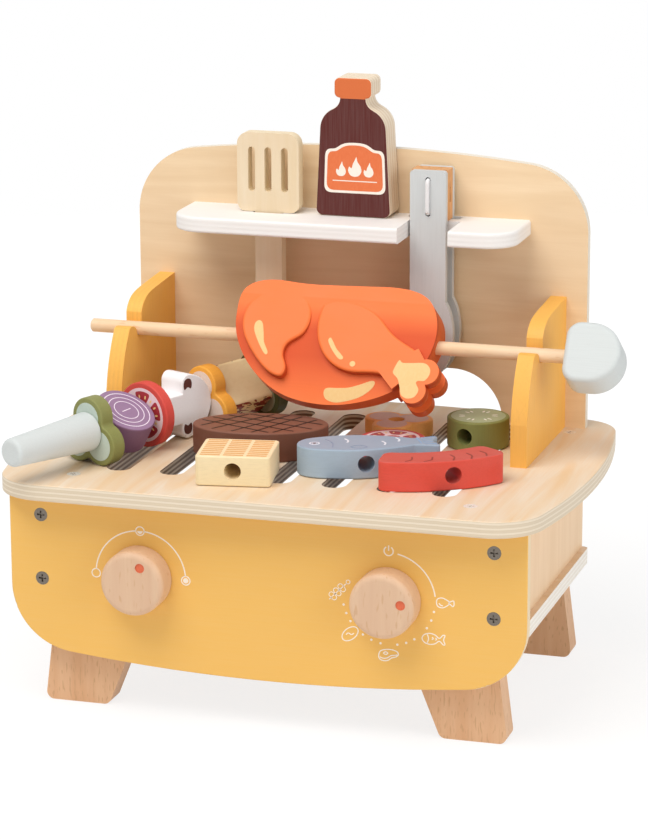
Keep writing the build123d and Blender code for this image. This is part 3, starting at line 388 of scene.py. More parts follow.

# %% [markdown]
# ## The roast's paint and its painted shade
# The roast is carved from one block and painted orange. Shade is painted on it in two tones: the
# ground between the raised wing and thigh is darkened redder, as painted shade in the recess, and
# the block's cut sides are darker still, as painted shade on its flanks. The roast leans back, so
# both tones go by the depth and the direction along its own facing.

# %% Roast paint
lean_angle = math.radians(33)
facing = Vector((0, -math.cos(lean_angle), math.sin(lean_angle)))
back_up = Vector((0, math.sin(lean_angle), math.cos(lean_angle)))
roast_middle, half_block = Vector((0, 124, 194.4)), 12.0
roast = dress(paint("roast_paint", "#F97A3A", roughness=0.5, drift=0.06), "roast_chicken")
tree = roast.node_tree
skin_input = tree.nodes["Principled BSDF"].inputs["Base Color"]
coords = add(tree, "TexCoord").outputs
depth = add(tree, "VectorMath", {0: coords["Object"], 1: facing}, operation="DOT_PRODUCT")
raised = facing.dot(spot(*roast_middle)) + half_block / 1000
# Painted shade in the recess: a redder tone by depth, just below the raised wing and thigh.
below = add(tree, "MapRange", {0: depth, 1: raised - 0.0006, 2: raised - 0.0022})
above = add(tree, "MapRange", {0: depth, 1: raised - 0.0070, 2: raised - 0.0040})
recess_shade = add(tree, "Math", {0: below, 1: above}, operation="MULTIPLY")
skin = stain(tree, skin_input.links[0].from_socket, "#DA5524", recess_shade)
# Painted shade on the flanks: faces turned across the roast's facing are darkened.
side = add(tree, "VectorMath", {0: coords["Normal"], 1: facing}, operation="DOT_PRODUCT")
side = add(tree, "Math", {0: side}, operation="ABSOLUTE")
join(tree, stain(tree, skin, "#A8401A", side, 0.75, 0.3, 0.5), skin_input)
print("raised parts lie", round(raised * 1000, 1), "mm along the roast's facing")

# %% [markdown]
# ## Screws, bacon and the rest
# The countersunk screws are plain steel with a cross recess. The bacon roll is cream fat on its
# broad faces, and its cut faces show dark red streaks along the roll, which are noise drawn out
# along the skewer and cut off sharply, because the real ones are printed.

# %% Steel
def steel(name, tint, roughness):
    """Bare or zinc-plated steel, with the fine turning marks of a screw head."""
    material, tree, shader, coords = start_finish(name, roughness)
    shader.inputs["Metallic"].default_value = 1.0
    grit = fibres(tree, coords, "Z", 0.35, 0.35, 2.0)
    join(tree, stain(tree, tint, "#2E2C2A", grit, 0.3, 0.7, 0.35), shader.inputs["Base Color"])
    join(tree, add(tree, "MapRange", {0: grit, 1: 0.3, 2: 0.7, 3: roughness - 0.06,
                                      4: roughness + 0.1}), shader.inputs["Roughness"])
    return material

dress(steel("dark_steel", "#877E74", 0.32), "panel_screws")
dress(steel("pale_steel", "#FFFAF2", 0.6), "top_screws")
dress(steel("zinc_plated_steel", "#B9B4AC", 0.32), "leg_screws", "plate_screws",
      "bracket_screws", "rear_screws", "knob_screw_left", "knob_screw_right",
      "knob_washer_left", "knob_washer_right")

# %% Bacon
skewer_angle = math.radians(23)
bacon, tree, shader, coords = start_finish("bacon_paint", 0.5)
streak = fibres(tree, coords, "Y", 4.5, 17, 2.0, 0.7, skewer_angle)
patch = fibres(tree, coords, "Y", 2.2, 6, 1.0, 0.4, skewer_angle)
broad = add(tree, "VectorMath", {0: coords["Normal"], 1: (0.65, -0.28, 0.707)},
            operation="DOT_PRODUCT")
broad = add(tree, "Math", {0: broad}, operation="ABSOLUTE")
lean = stain(tree, "#EBD7A4", "#8A3420", streak, 0.5, 0.53)
lean = stain(tree, lean, "#5A2416", patch, 0.6, 0.64)
fat = stain(tree, "#F1E0B4", "#E2CB94", patch, 0.4, 0.8, 0.3)
skin = stain(tree, lean, fat, broad, 0.8, 0.84)
dress(settle(bacon, tree, shader, skin, patch, 0.2, 0.1), "skewer_bacon")
print("bacon and screws dressed")

# %% [markdown]
# ## Prints and painted marks
# The dial marks, the label, the corn's rows and the other small marks are ink or paint on the
# wood. They could be drawn in the materials, but as thin meshes they keep crisp edges at any
# size, and their shapes are easy to read here. Each is a closed sheet, made in the plane that it
# lies on: it stands about a tenth of a millimetre proud and is sunk a little into the wood.

# %% Planes and closed sheets
class Plane:
    """A plane on the toy: an origin in drawing millimetres, and two directions on the surface."""
    def __init__(self, origin, right, up, turned=0.0):
        right, up = Vector(right).normalized(), Vector(up).normalized()
        c, s = math.cos(math.radians(turned)), math.sin(math.radians(turned))
        self.origin, self.right, self.up = Vector(origin), right * c + up * s, up * c - right * s
        self.out = self.right.cross(self.up)
    def at(self, u, v, w=0.0):
        return spot(*(self.origin + self.right * u + self.up * v + self.out * w))
    def matrix(self):
        """For a mesh drawn in metres in the plane's own directions."""
        turned = Matrix((self.right, self.up, self.out)).transposed().to_4x4()
        return Matrix.Translation(spot(*self.origin)) @ turned

def finished(name, mesh, material, body):
    """Link a mesh as a piece that rides on a body."""
    mesh.materials.clear()
    mesh.materials.append(material)
    piece = show(bpy.data.objects.new(name, mesh))
    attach(piece, body)
    return piece

def ribbon(points, width, closed=False):
    """The two edges of a line of a given width through the points."""
    inner, outer = [], []
    count = len(points)
    for i, (u, v) in enumerate(points):
        before = points[i - 1] if i or closed else points[0]
        after = points[(i + 1) % count] if i < count - 1 or closed else points[-1]
        du, dv = after[0] - before[0], after[1] - before[1]
        size = math.hypot(du, dv) or 1.0
        outer.append((u - dv / size * width / 2, v + du / size * width / 2))
        inner.append((u + dv / size * width / 2, v - du / size * width / 2))
    return inner, outer, closed

def sheet(name, plane, shapes, material, body, proud=0.12, sunk=0.08):
    """One piece from areas, given as outlines, and from ribbons or rings, given as two edges."""
    work = bmesh.new()
    for shape in shapes:
        if isinstance(shape, tuple):
            inner, outer, closed = shape
            rows = [[work.verts.new(plane.at(u, v, w)) for u, v in edge]
                    for edge, w in ((inner, proud), (outer, proud), (outer, -sunk), (inner, -sunk))]
            count = len(inner)
            for i in range(count if closed else count - 1):
                j = (i + 1) % count
                for k in range(4):
                    a, b = rows[k], rows[(k + 1) % 4]
                    work.faces.new((a[i], a[j], b[j], b[i]))
            if not closed:
                work.faces.new([row[0] for row in rows])
                work.faces.new([row[-1] for row in rows][::-1])
        else:
            high = [work.verts.new(plane.at(u, v, proud)) for u, v in shape]
            low = [work.verts.new(plane.at(u, v, -sunk)) for u, v in shape]
            work.faces.new(high)
            work.faces.new(low[::-1])
            for i in range(len(shape)):
                j = (i + 1) % len(shape)
                work.faces.new((high[j], high[i], low[i], low[j]))
    bmesh.ops.recalc_face_normals(work, faces=work.faces)
    bmesh.ops.triangulate(work, faces=[f for f in work.faces if len(f.verts) > 4])
    mesh = bpy.data.meshes.new(name)
    work.to_mesh(mesh)
    work.free()
    return finished(name, mesh, material, body)

# %% Curves for the marks
def arc(radius, first, last, count=24, middle=(0, 0)):
    """Points on an arc; angles run clockwise from straight up, in degrees."""
    angles = [math.radians(first + (last - first) * i / (count - 1)) for i in range(count)]
    return [(middle[0] + radius * math.sin(a), middle[1] + radius * math.cos(a)) for a in angles]

def ring(radius, width, middle=(0, 0), count=32):
    """A closed circular line."""
    circle = arc(1, 0, 360, count + 1)[:-1]
    inner, outer = [[(middle[0] + u * r, middle[1] + v * r) for u, v in circle]
                    for r in (radius - width / 2, radius + width / 2)]
    return inner, outer, True

def smooth(points, closed=False, steps=6):
    """A soft curve through the points."""
    result, count = [], len(points)
    for i in range(count if closed else count - 1):
        p = [points[k % count] if closed else points[min(max(k, 0), count - 1)]
             for k in range(i - 1, i + 3)]
        for t in [s / steps for s in range(steps)]:
            result.append(tuple(
                0.5 * (2 * p[1][a] + (p[2][a] - p[0][a]) * t
                       + (2 * p[0][a] - 5 * p[1][a] + 4 * p[2][a] - p[3][a]) * t * t
                       + (3 * p[1][a] - p[0][a] - 3 * p[2][a] + p[3][a]) * t ** 3) for a in (0, 1)))
    return result if closed else result + [points[-1]]

def moved(points, du, dv, turned=0.0):
    """The points turned about their own zero, then moved over."""
    c, s = math.cos(math.radians(turned)), math.sin(math.radians(turned))
    return [(du + u * c - v * s, dv + u * s + v * c) for u, v in points]

def ink(name, tint, mottle, share):
    """A thin printed or brushed layer; it breaks up a little over the fibres."""
    material, tree, shader, coords = start_finish(name, 0.45)
    patchy = fibres(tree, coords, "Z", 1.2, 2.4, 2.0)
    skin = stain(tree, tint, mottle, patchy, 0.35, 0.75, share)
    return settle(material, tree, shader, skin, patchy, 0.15, 0.1)

white_ink = ink("white_print", "#FBF2E4", "#F7E0B8", 0.2)
print("helpers for marks ready")

# %% [markdown]
# ## Rows and rings of equal marks
# The dots round the dial, the seeds of the cucumber and tomato slices and the rows of the corn
# are one small mark set out again and again. Geometry Nodes do that from a few numbers: one tree
# puts copies on an arc, and the other puts them in rows and columns. The result is turned into
# a plain mesh and laid in its plane.

# %% Node trees for repeats
def tree_with_inputs(name, sizes):
    """A Geometry Nodes tree with named inputs; a number is a size and None is the material."""
    tree = bpy.data.node_groups.new(name, "GeometryNodeTree")
    for label, value in sizes.items():
        kind = {int: "NodeSocketInt", float: "NodeSocketFloat"}.get(type(value), "NodeSocketMaterial")
        socket = tree.interface.new_socket(label, in_out="INPUT", socket_type=kind)
        if value is not None:
            socket.default_value = value
    tree.interface.new_socket("Geometry", in_out="OUTPUT", socket_type="NodeSocketGeometry")
    return tree, add(tree, "NodeGroupInput").outputs

def close_tree(tree, geometry, material):
    """Realize the copies, give them their material and end the tree."""
    real = add(tree, "GeometryNodeRealizeInstances", {0: geometry})
    painted = add(tree, "GeometryNodeSetMaterial", {"Geometry": real, "Material": material})
    add(tree, "NodeGroupOutput", {0: painted})

arc_tree, given = tree_with_inputs("copies_on_an_arc", {
    "Radius": 0.02, "First angle": 0.0, "Step": 0.2, "Count": 6, "Length": 0.001, "Width": 0.001,
    "Height": 0.0002, "Material": None})
points = add(arc_tree, "GeometryNodePoints", {"Count": given["Count"]})
index = add(arc_tree, "GeometryNodeInputIndex")
angle = add(arc_tree, "Math", {0: index, 1: given["Step"], 2: given["First angle"]},
            operation="MULTIPLY_ADD")
sine = add(arc_tree, "Math", {0: angle}, operation="SINE")
cosine = add(arc_tree, "Math", {0: angle}, operation="COSINE")
places = add(arc_tree, "VectorMath", {0: add(arc_tree, "CombineXYZ", {0: sine, 1: cosine}),
                                      "Scale": given["Radius"]}, operation="SCALE")
points = add(arc_tree, "GeometryNodeSetPosition", {"Geometry": points, "Position": places})
mark = add(arc_tree, "GeometryNodeMeshCylinder", {"Vertices": 14, "Radius": 0.5, "Depth": 1.0})
spin = add(arc_tree, "CombineXYZ", {2: add(arc_tree, "Math", {0: angle, 1: -1.0},
                                           operation="MULTIPLY")})
size = add(arc_tree, "CombineXYZ", {0: given["Width"], 1: given["Length"], 2: given["Height"]})
copies = add(arc_tree, "GeometryNodeInstanceOnPoints", {"Points": points, "Instance": mark,
                                                        "Rotation": spin, "Scale": size})
close_tree(arc_tree, copies, given["Material"])

row_tree, given = tree_with_inputs("rows_of_marks", {
    "Columns": 3, "Rows": 8, "Width over all": 0.02, "Length over all": 0.02,
    "Mark length": 0.01, "Mark width": 0.001, "Height": 0.0002, "Material": None})
grid = add(row_tree, "GeometryNodeMeshGrid", {
    "Size X": given["Width over all"], "Size Y": given["Length over all"],
    "Vertices X": given["Columns"], "Vertices Y": given["Rows"]})
size = add(row_tree, "CombineXYZ", {0: given["Mark length"], 1: given["Mark width"],
                                    2: given["Height"]})
mark = add(row_tree, "GeometryNodeMeshCube", {"Size": size})
copies = add(row_tree, "GeometryNodeInstanceOnPoints", {"Points": grid, "Instance": mark})
close_tree(row_tree, copies, given["Material"])

def repeated(name, tree, values, plane, body):
    """Run a tree with its values and lay the result in a plane as a plain mesh."""
    empty_mesh = bpy.data.meshes.new(name + "_carrier")
    carrier = show(bpy.data.objects.new(name + "_carrier", empty_mesh))
    modifier = carrier.modifiers.new("repeat", "NODES")
    modifier.node_group = tree
    for item in tree.interface.items_tree:
        if item.in_out == "INPUT" and item.name in values:
            modifier[item.identifier] = values[item.name]
    bpy.context.view_layer.update()
    view = bpy.context.evaluated_depsgraph_get()
    mesh = bpy.data.meshes.new_from_object(carrier.evaluated_get(view), depsgraph=view)
    carrier.modifiers.clear()
    bpy.data.objects.remove(carrier)
    mesh.transform(plane.matrix())
    return finished(name, mesh, values["Material"], body)

def arc_marks(name, plane, radius, first, gap, count, length, width, material, body,
              proud=0.12):
    """Marks on an arc, in millimetres and degrees."""
    return repeated(name, arc_tree, {
        "Radius": radius / 1000, "First angle": math.radians(first), "Step": math.radians(gap),
        "Count": count, "Length": length / 1000, "Width": width / 1000,
        "Height": proud * 2 / 1000, "Material": material}, plane, body)

print("two trees:", arc_tree.name, row_tree.name)

# %% [markdown]
# ## Dials on the front panel
# Both dials are printed in white on the yellow panel. The left one is an arc with an empty, a
# half-filled and a full circle. The right one starts at a power sign and goes round small
# pictures of food, with a few dots between them.

# %% Left dial
knob_x, knob_z = 72, 82.6
left_dial = Plane((-knob_x, 0, knob_z), (1, 0, 0), (0, 0, 1))
reach, stop = 26.6, 5.6
dome = arc(1.6, 90, 270, 12, (0, reach))
marks = [ring(2.5, 0.62, middle) for middle in ((-reach, 0), (0, reach), (reach, 0))]
marks += [ribbon(arc(reach, -90 + stop, -stop), 0.72), ribbon(arc(reach, stop, 90 - stop), 0.72),
          arc(1.55, 0, 360, 25, (reach, 0))[:-1], dome]
sheet("left_dial_print", left_dial, marks, white_ink, "grill")

# %% Right dial
right_dial = Plane((knob_x, 0, knob_z), (1, 0, 0), (0, 0, 1))

def polar(radius, angle):
    """A point by its radius and its angle, clockwise from straight up, in degrees."""
    return radius * math.sin(math.radians(angle)), radius * math.cos(math.radians(angle))

pictures = [ribbon(arc(2.6, 32, 328, 22, polar(27.4, 0)), 0.68), ribbon([(0, 27.6), (0, 30.6)], 0.68),
            ribbon(arc(26.6, 11, 82), 0.72)]
leg_line = [(-5, 0.2), (-4.2, 2.2), (-1.8, 2.8), (0.6, 1.9), (2.6, 0.9), (3.6, 1.5), (4.7, 1.6),
            (4.9, 0.5), (4.9, -0.7), (4.2, -1.6), (3.4, -1.0), (2.4, -0.4), (0.8, -1.6),
            (-1.6, -2.8), (-4.2, -2.2)]
fish_line = [(-6.4, 0), (-5, 2.2), (-2, 3.1), (1, 2.4), (3.4, 0.7), (5.4, 2.6), (6.6, 2.4),
             (5.8, 0), (6.6, -2.6), (5.4, -2.7), (3.4, -0.9), (1, -2.6), (-2, -3.2), (-5, -2.3)]
steak_line = [(-5.6, -0.4), (-4.8, 1.9), (-2.2, 3.1), (1.4, 3.4), (4.6, 2.6), (5.6, 0.9),
              (4.2, -0.6), (1.8, -1.4), (-0.2, -2.9), (-3, -3.4), (-5.2, -2.4)]
oval_line = [(u * 5.4, v * 3.2) for u, v in arc(1, 0, 360, 13)[:-1]]
icons = [   # the place by radius and angle, the turn, then closed lines and open lines
    (32.1, 89, 0, [leg_line], [[(2.4, 0.8), (2.0, 0.2), (2.3, -0.3)],
                               [(-3.6, -0.3), (-2.8, -1.3), (-1.4, -1.7)]]),
    (32.7, 129, 0, [fish_line], [[(-3.4, 2.4), (-2.7, 0), (-3.4, -2.4)],
                                 [(-0.8, 0.9), (0, 0.3), (-0.8, -0.4)],
                                 [(1.2, 0.7), (1.9, 0.1), (1.2, -0.6)]]),
    (32.3, 180, 0, [steak_line, [(-2.9, 1.0), (-1.6, 1.8), (-0.4, 1.1), (-1.6, 0.3)]],
     [[(-5.1, -1.4), (-3, -2.0), (-0.6, -1.5), (1.4, -0.1), (3.6, 0.3), (5.0, 0.7)]]),
    (31.1, -135, 40, [oval_line], [[(-2.2, 0.9), (-0.6, 1.0), (0.4, -0.8), (2.0, -1.0)]])]
for radius, angle, turned, closed_lines, open_lines in icons:
    for closed, lines in ((True, closed_lines), (False, open_lines)):
        for line in lines:
            curve = moved(smooth(line, closed, 4), *polar(radius, angle), turned)
            pictures.append(ribbon(curve, 0.6, closed))
middle = polar(29.3, -87)
pictures += [ribbon(moved([(-6.6, 0), (7.6, 0)], *middle, 45), 0.5),
             ring(1.1, 0.45, tuple(a + b for a, b in zip(middle, (6.2, 6.2))))]
for along in (-3.6, 0.0, 3.6):
    bead = smooth([(-1.5, 0), (-1.1, 2.0), (0.2, 2.5), (1.3, 1.8), (1.5, 0), (1.1, -2.0),
                   (-0.2, -2.5), (-1.3, -1.8)], True, 3)
    pictures.append(ribbon(moved([(u + along, v) for u, v in bead], *middle, 45), 0.45, True))
sheet("right_dial_print", right_dial, pictures, white_ink, "grill")
for number, (first, gap) in enumerate(((101, 11.5), (146, 11.5), (190, 12), (236, 11))):
    arc_marks(f"dial_dots_{number + 1}", right_dial, 26.2, first, gap, 3, 1.4, 1.4, white_ink,
              "grill")
print("dials printed")

# %% [markdown]
# ## Knob dots
# Each knob has a shallow round dimple near its rim, painted orange-red, that shows where the
# knob points. The paint is a thin disc on the floor of the dimple, and turns with the knob.

# %% Knob dots
red_dot = ink("dot_paint", "#DF6C48", "#F09070", 0.2)
for side, angle, body in ((-1, 28.0, "knob_left"), (1, 79.0, "knob_right")):
    floor_of_dimple = Plane((side * knob_x, -15.7, knob_z), (1, 0, 0), (0, 0, 1))
    sheet(body + "_dot", floor_of_dimple, [arc(2.72, 0, 360, 33, polar(11.4, angle))[:-1]],
          red_dot, body, 0.1)
print("dots painted")

# %% [markdown]
# ## The roast's painted highlights
# The carved roast has a few cream marks on its front, as if it shone, and the end of its bone is
# cream. They lie on two levels: the raised wing, thigh and bone, and the sloping belly between.

# %% Roast highlights
relief = Plane(roast_middle + facing * half_block, (1, 0, 0), back_up)
cream = ink("cream_paint", "#EDC382", "#F4D49C", 0.25)
wing_mark = smooth([(-39.6, 5.6), (-37.3, 3.7), (-35.8, -2), (-34.6, -7.5), (-31.5, -13.2),
                    (-32.2, -15), (-34.2, -13.4), (-38.2, -7.5), (-41.6, -0.8), (-41.8, 3.6)], True)
thigh_mark = smooth([(4.6, -2.2), (6.2, -3.8), (9.3, -8.6), (13.8, -13.2), (13.3, -14.9),
                     (11.0, -14.2), (6.4, -9), (3.7, -4.2)], True)
bone_mark = smooth([(47.5, -13.0), (49.6, -14.4), (55, -14.2), (62.2, -13.8), (65.8, -16.3),
                    (66.4, -20.2), (64.0, -24.2), (60.2, -24.6), (59.3, -26.2), (61.3, -30.0),
                    (59.6, -34.2), (55.4, -35.6), (51.6, -33.6), (50, -28.9), (48.0, -24),
                    (44.9, -20.8), (45.6, -17)], True)
round_mark = arc(1.7, 0, 360, 20, (20.2, -17.1))[:-1]
sheet("roast_highlights", relief, [wing_mark, thigh_mark, round_mark, bone_mark], cream, "spit")
print("highlights on the raised parts")

# %% [markdown]
# The belly slopes: the block thins from its full 24 mm at its upper part to 9 mm at the lower
# edge, so this mark lies in a plane turned by the slope's angle.

# %% Highlight on the belly
thin_edge, thick_at, half_edge = -43.5, 21.75, 4.5
slope = math.atan2(half_block - half_edge, thick_at - thin_edge)
slope_up = back_up * math.cos(slope) + facing * math.sin(slope)
belly = Plane(roast_middle + back_up * thin_edge + facing * half_edge, (1, 0, 0), slope_up)
belly_line = [(4, -33.5), (5.5, -30.8), (12, -30.3), (18.5, -29.6), (25, -27.4), (31.4, -24.8),
              (33.6, -25.8), (32, -29.5), (26.5, -34.2), (19, -37.3), (11.5, -38.8), (5.8, -37.2)]
belly_mark = smooth([(u, (v - thin_edge) / math.cos(slope)) for u, v in belly_line], True)
sheet("belly_highlight", belly, [belly_mark], cream, "spit")
print("belly slopes by", round(math.degrees(slope), 1), "degrees")

# %% [markdown]
# ## Label on the sauce bottle
# A plaque with a low dome is printed on the bottle: a white border round an orange field. The
# field carries three small flames and a line under them.

# %% Bottle label
def softened(corners):
    """An outline with rounded corners: each corner is u, v and its radius."""
    result, count = [], len(corners)
    for i, (u, v, r) in enumerate(corners):
        sides = []
        for other in (corners[i - 1], corners[(i + 1) % count]):
            du, dv = other[0] - u, other[1] - v
            size = math.hypot(du, dv)
            cut = min(r, size / 2)
            sides.append((u + du / size * cut, v + dv / size * cut))
        for t in [k / 5 for k in range(6)]:
            result.append(tuple((1 - t) ** 2 * sides[0][a] + 2 * t * (1 - t) * (u, v)[a]
                                + t * t * sides[1][a] for a in (0, 1)))
    return result

label = Plane((3.3, 166.5, 273.2), (1, 0, 0), (0, 0, 1))
def plaque(inset):
    """The label's outline, moved in from the border."""
    w, top, dome, half = 18.7 - inset, 25.6 - inset, 30.0 - inset, 9.5 - inset * 0.5
    return softened([(-w, inset, 4.5), (w, inset, 4.5), (w - 0.8, top, 4.5),
                     (half + 2.2, top + 0.4, 1.5), (half - 2.5, dome - 0.6, 4), (0, dome, 6),
                     (-half + 2.5, dome - 0.6, 4), (-half - 2.2, top + 0.4, 1.5),
                     (-w + 0.8, top, 4.5)])
border_ink = ink("label_white_print", "#F4EBDD", "#FFFFFF", 0.2)
field_ink = ink("label_orange_print", "#E27444", "#EE9060", 0.2)
sheet("label_border", label, [plaque(0)], border_ink, "bottle", 0.08)
sheet("label_field", label, [plaque(1.5)], field_ink, "bottle", 0.14, 0.0)
flame_line = smooth([(0.12, 1.0), (0.20, 0.76), (0.42, 0.52), (0.48, 0.27), (0.30, 0.06),
                     (0.0, 0.0), (-0.32, 0.07), (-0.48, 0.30), (-0.40, 0.50), (-0.24, 0.42),
                     (-0.12, 0.66), (0.02, 0.86)], True)
flames = [[(c + u * tall * 0.72, 9.9 + v * tall) for u, v in flame_line]
          for c, tall in ((-8.4, 8.6), (0.0, 11.6), (8.4, 8.6))]
sheet("label_flames", label, flames + [ribbon([(-13.5, 7.2), (13.5, 7.2)], 0.55)], border_ink,
      "bottle", 0.2, 0.0)
print("label printed")

# %% [markdown]
# ## Corn, steak, fish and sausage
# The tops of the blocks carry small painted marks: three columns of kernels on the corn, a
# crossed grid on the steak, an eye, a gill, scales and a fin on the fish, and five short curves
# on the sausage. The kernels are the rows of the second node tree.

# %% Corn
grill_surface, block_thick, slice_thick = 136.3, 17.0, 9.5
top_of_block = grill_surface + block_thick
corn_top = Plane((-23.9, 28.8, top_of_block), (1, 0, 0), (0, 1, 0), 9.5)
kernel = ink("corn_row_paint", "#DFA565", "#ECC48A", 0.25)
repeated("corn_rows", row_tree, {
    "Columns": 3, "Rows": 9, "Width over all": 0.0262, "Length over all": 0.0312,
    "Mark length": 0.0112, "Mark width": 0.0019, "Height": 0.00024, "Material": kernel},
    corn_top, "corn")

# %% Steak
steak_top = Plane((-28.4, 83.5, top_of_block), (1, 0, 0), (0, 1, 0), 12.0)
seared = ink("seared_line_paint", "#1E0D0A", "#3A1E18", 0.12)
def inside_oval(first, last, half_u, half_v):
    """The part of a straight line that lies inside an oval."""
    (u0, v0), (du, dv) = first, (last[0] - first[0], last[1] - first[1])
    a = (du / half_u) ** 2 + (dv / half_v) ** 2
    b = u0 * du / half_u ** 2 + v0 * dv / half_v ** 2
    c = (u0 / half_u) ** 2 + (v0 / half_v) ** 2 - 1
    root = math.sqrt(b * b - a * c)
    return [(u0 + du * t, v0 + dv * t) for t in ((-b - root) / a, (-b + root) / a)]
grid_lines = [((-33.6, -7.1), (-14.0, 14.4)), ((-25.5, -12.8), (-1.5, 12.8)),
              ((-13.6, -17.3), (11.0, 14.0)), ((-2.0, -19.0), (21.0, 14.0)),
              ((9.4, -19.5), (30.8, 8.8)), ((-33.9, 5.6), (1.7, -17.1)),
              ((-26.8, 10.9), (14.9, -13.4)), ((-13.9, 13.5), (24.5, -7.6)),
              ((-2.9, 17.5), (33.4, 0.4))]
sheet("steak_grid", steak_top, [ribbon(inside_oval(a, b, 35.5, 20.5), 1.2) for a, b in grid_lines],
      seared, "steak", 0.1)

# %% Fish
fish_top = Plane((5.0, 47.0, top_of_block), (1, 0, 0), (0, 1, 0), 21.0)
grey_line = ink("fish_line_paint", "#7F8EA8", "#A9B6CC", 0.3)
pale_line = ink("fish_scale_paint", "#E2E6F0", "#FFFFFF", 0.2)
tail_line = ink("fish_tail_paint", "#86A9CC", "#A9BFDA", 0.3)
pupil = ink("pupil_paint", "#5A4A4C", "#7A6A6C", 0.2)
eye = (9.8, -0.6)
gill = ribbon(smooth([(16.6, 7.4), (18.8, 3.8), (20.0, -1.6), (19.4, -9.6)]), 0.75)
fin = ribbon(smooth([(29.6, -9.6), (31.9, -7.4), (34.9, -6.9), (37.6, -8.4), (38.4, -10.9),
                     (35.6, -12.6), (32.0, -12.4)], True), 0.7, True)
scales = [ribbon(smooth([(c - 1.2, v + 4.0), (c + 0.4, v), (c - 0.4, v - 4.2)]), 1.1)
          for c, v in ((28.6, 3.6), (49.0, -3.0), (57.4, 3.6))]
rays = [ribbon(line, 0.7) for line in ([(70.2, 6.6), (78.6, 8.8)], [(70.4, 2.6), (76.6, 3.4)],
                                       [(70.6, -1.2), (76.4, -1.8)], [(70.8, -4.6), (78.0, -7.2)])]
rays.append(ribbon([(68.0, 7.6), (68.6, 1.6), (69.6, -5.6)], 0.8))
for name, marks, paint_of_mark, proud in (
        ("fish_eye_ring", [arc(3.1, 0, 360, 29, eye)[:-1]], pale_line, 0.1),
        ("fish_eye_line", [ring(1.9, 0.5, eye)], grey_line, 0.14),
        ("fish_pupil", [arc(1.15, 0, 360, 21, eye)[:-1]], pupil, 0.16),
        ("fish_gill_and_fin", [gill, fin], grey_line, 0.1),
        ("fish_scales", scales, pale_line, 0.1), ("fish_tail_lines", rays, tail_line, 0.1)):
    sheet(name, fish_top, marks, paint_of_mark, "fish", proud)

# %% Sausage
sausage_top = Plane((0, 0, top_of_block), (1, 0, 0), (0, 1, 0))
scorch = ink("scorch_paint", "#8E3A33", "#B05048", 0.25)
curves = [[(73.4, 27.6), (75.8, 31.8), (74.6, 37.4)], [(83.4, 30.2), (86.4, 34.6), (85.4, 40.6)],
          [(93.6, 48.0), (97.0, 43.8), (98.2, 37.4)], [(101.4, 53.6), (105.4, 49.6), (106.8, 43.6)],
          [(107.2, 60.0), (111.4, 56.8), (113.4, 51.6)]]
sheet("sausage_marks", sausage_top, [ribbon(smooth(c), 0.95) for c in curves], scorch, "sausage",
      0.1)
print("blocks marked")

# %% [markdown]
# ## Slices
# A slice of pepper is a bright rim round a pale inside, tomato and cucumber show their flesh and
# seeds, and the onion its rings. Each inside is a flat ring whose outer edge is the slice's own
# outline moved in, and whose inner edge is the hole for the skewer.

# %% Outlines round a middle
def reach_of_circle(middle_u, middle_v, radius):
    """How far a circle reaches from the origin in a given direction."""
    def reach_at(angle):
        along = middle_u * math.sin(angle) + middle_v * math.cos(angle)
        off = middle_u * math.cos(angle) - middle_v * math.sin(angle)
        inside = radius ** 2 - off ** 2
        return along + math.sqrt(inside) if inside > 0 else 0.0
    return reach_at

def pepper_reach(inset):
    """The three lobes of a pepper slice, moved in by a rim."""
    lobes = [reach_of_circle(*polar(10.1, a), 11.5 - inset) for a in (0, 120, 240)]
    def reach_at(angle):
        return max(max(lobe(angle) for lobe in lobes), 9.6 - inset)
    return reach_at

def band(inner, outer, middle=(0, 0), count=72):
    """A flat ring between two reaches about a middle."""
    angles = [2 * math.pi * i / count for i in range(count)]
    edges = [[(middle[0] + reach_at(a) * math.sin(a), middle[1] + reach_at(a) * math.cos(a))
              for a in angles] for reach_at in (inner, outer)]
    return edges[0], edges[1], True

def even(radius):
    """The same reach in every direction."""
    return lambda angle: radius

# %% Slices lying on the grill
slice_top = grill_surface + slice_thick
pale_orange = ink("orange_pepper_inside", "#DCB6A4", "#E8CDBE", 0.3)
loose_pepper_top = Plane((36.1, 141.0, slice_top), (1, 0, 0), (0, 1, 0), 180)
sheet("loose_pepper_inside", loose_pepper_top, [band(even(4.9), pepper_reach(2.6))], pale_orange,
      "loose_pepper", 0.1)
flesh = ink("tomato_flesh_paint", "#EFD2D6", "#FFFFFF", 0.15)
jelly = ink("tomato_jelly_paint", "#A93038", "#C04A4C", 0.25)
seed = ink("seed_paint", "#F2CE86", "#FFE6B0", 0.3)
def tomato_face(name, plane, middle, body, radius=19.0):
    """Flesh, five chambers and their seeds on one face of a tomato slice, round its hole."""
    hole = reach_of_circle(-middle[0], -middle[1], 4.9)
    sheet(name + "_flesh", plane, [band(hole, even(radius - 3.2), middle)], flesh, body,
          0.08)
    chambers = []
    for k in range(5):
        a = 72 * k
        corners = arc(6.3, a - 20, a + 20, 3) + arc(radius - 5.0, a + 26, a - 26, 5)
        wedge = softened([(u, v, 2.6) for u, v in corners])
        chambers.append(moved(wedge, *middle))
    sheet(name + "_chambers", plane, chambers, jelly, body, 0.12)
    centre = plane.origin + plane.right * middle[0] + plane.up * middle[1]
    arc_marks(name + "_seeds", Plane(centre, plane.right, plane.up), radius - 8.2, -12, 24, 15,
              2.3, 1.1, seed, body, 0.2)

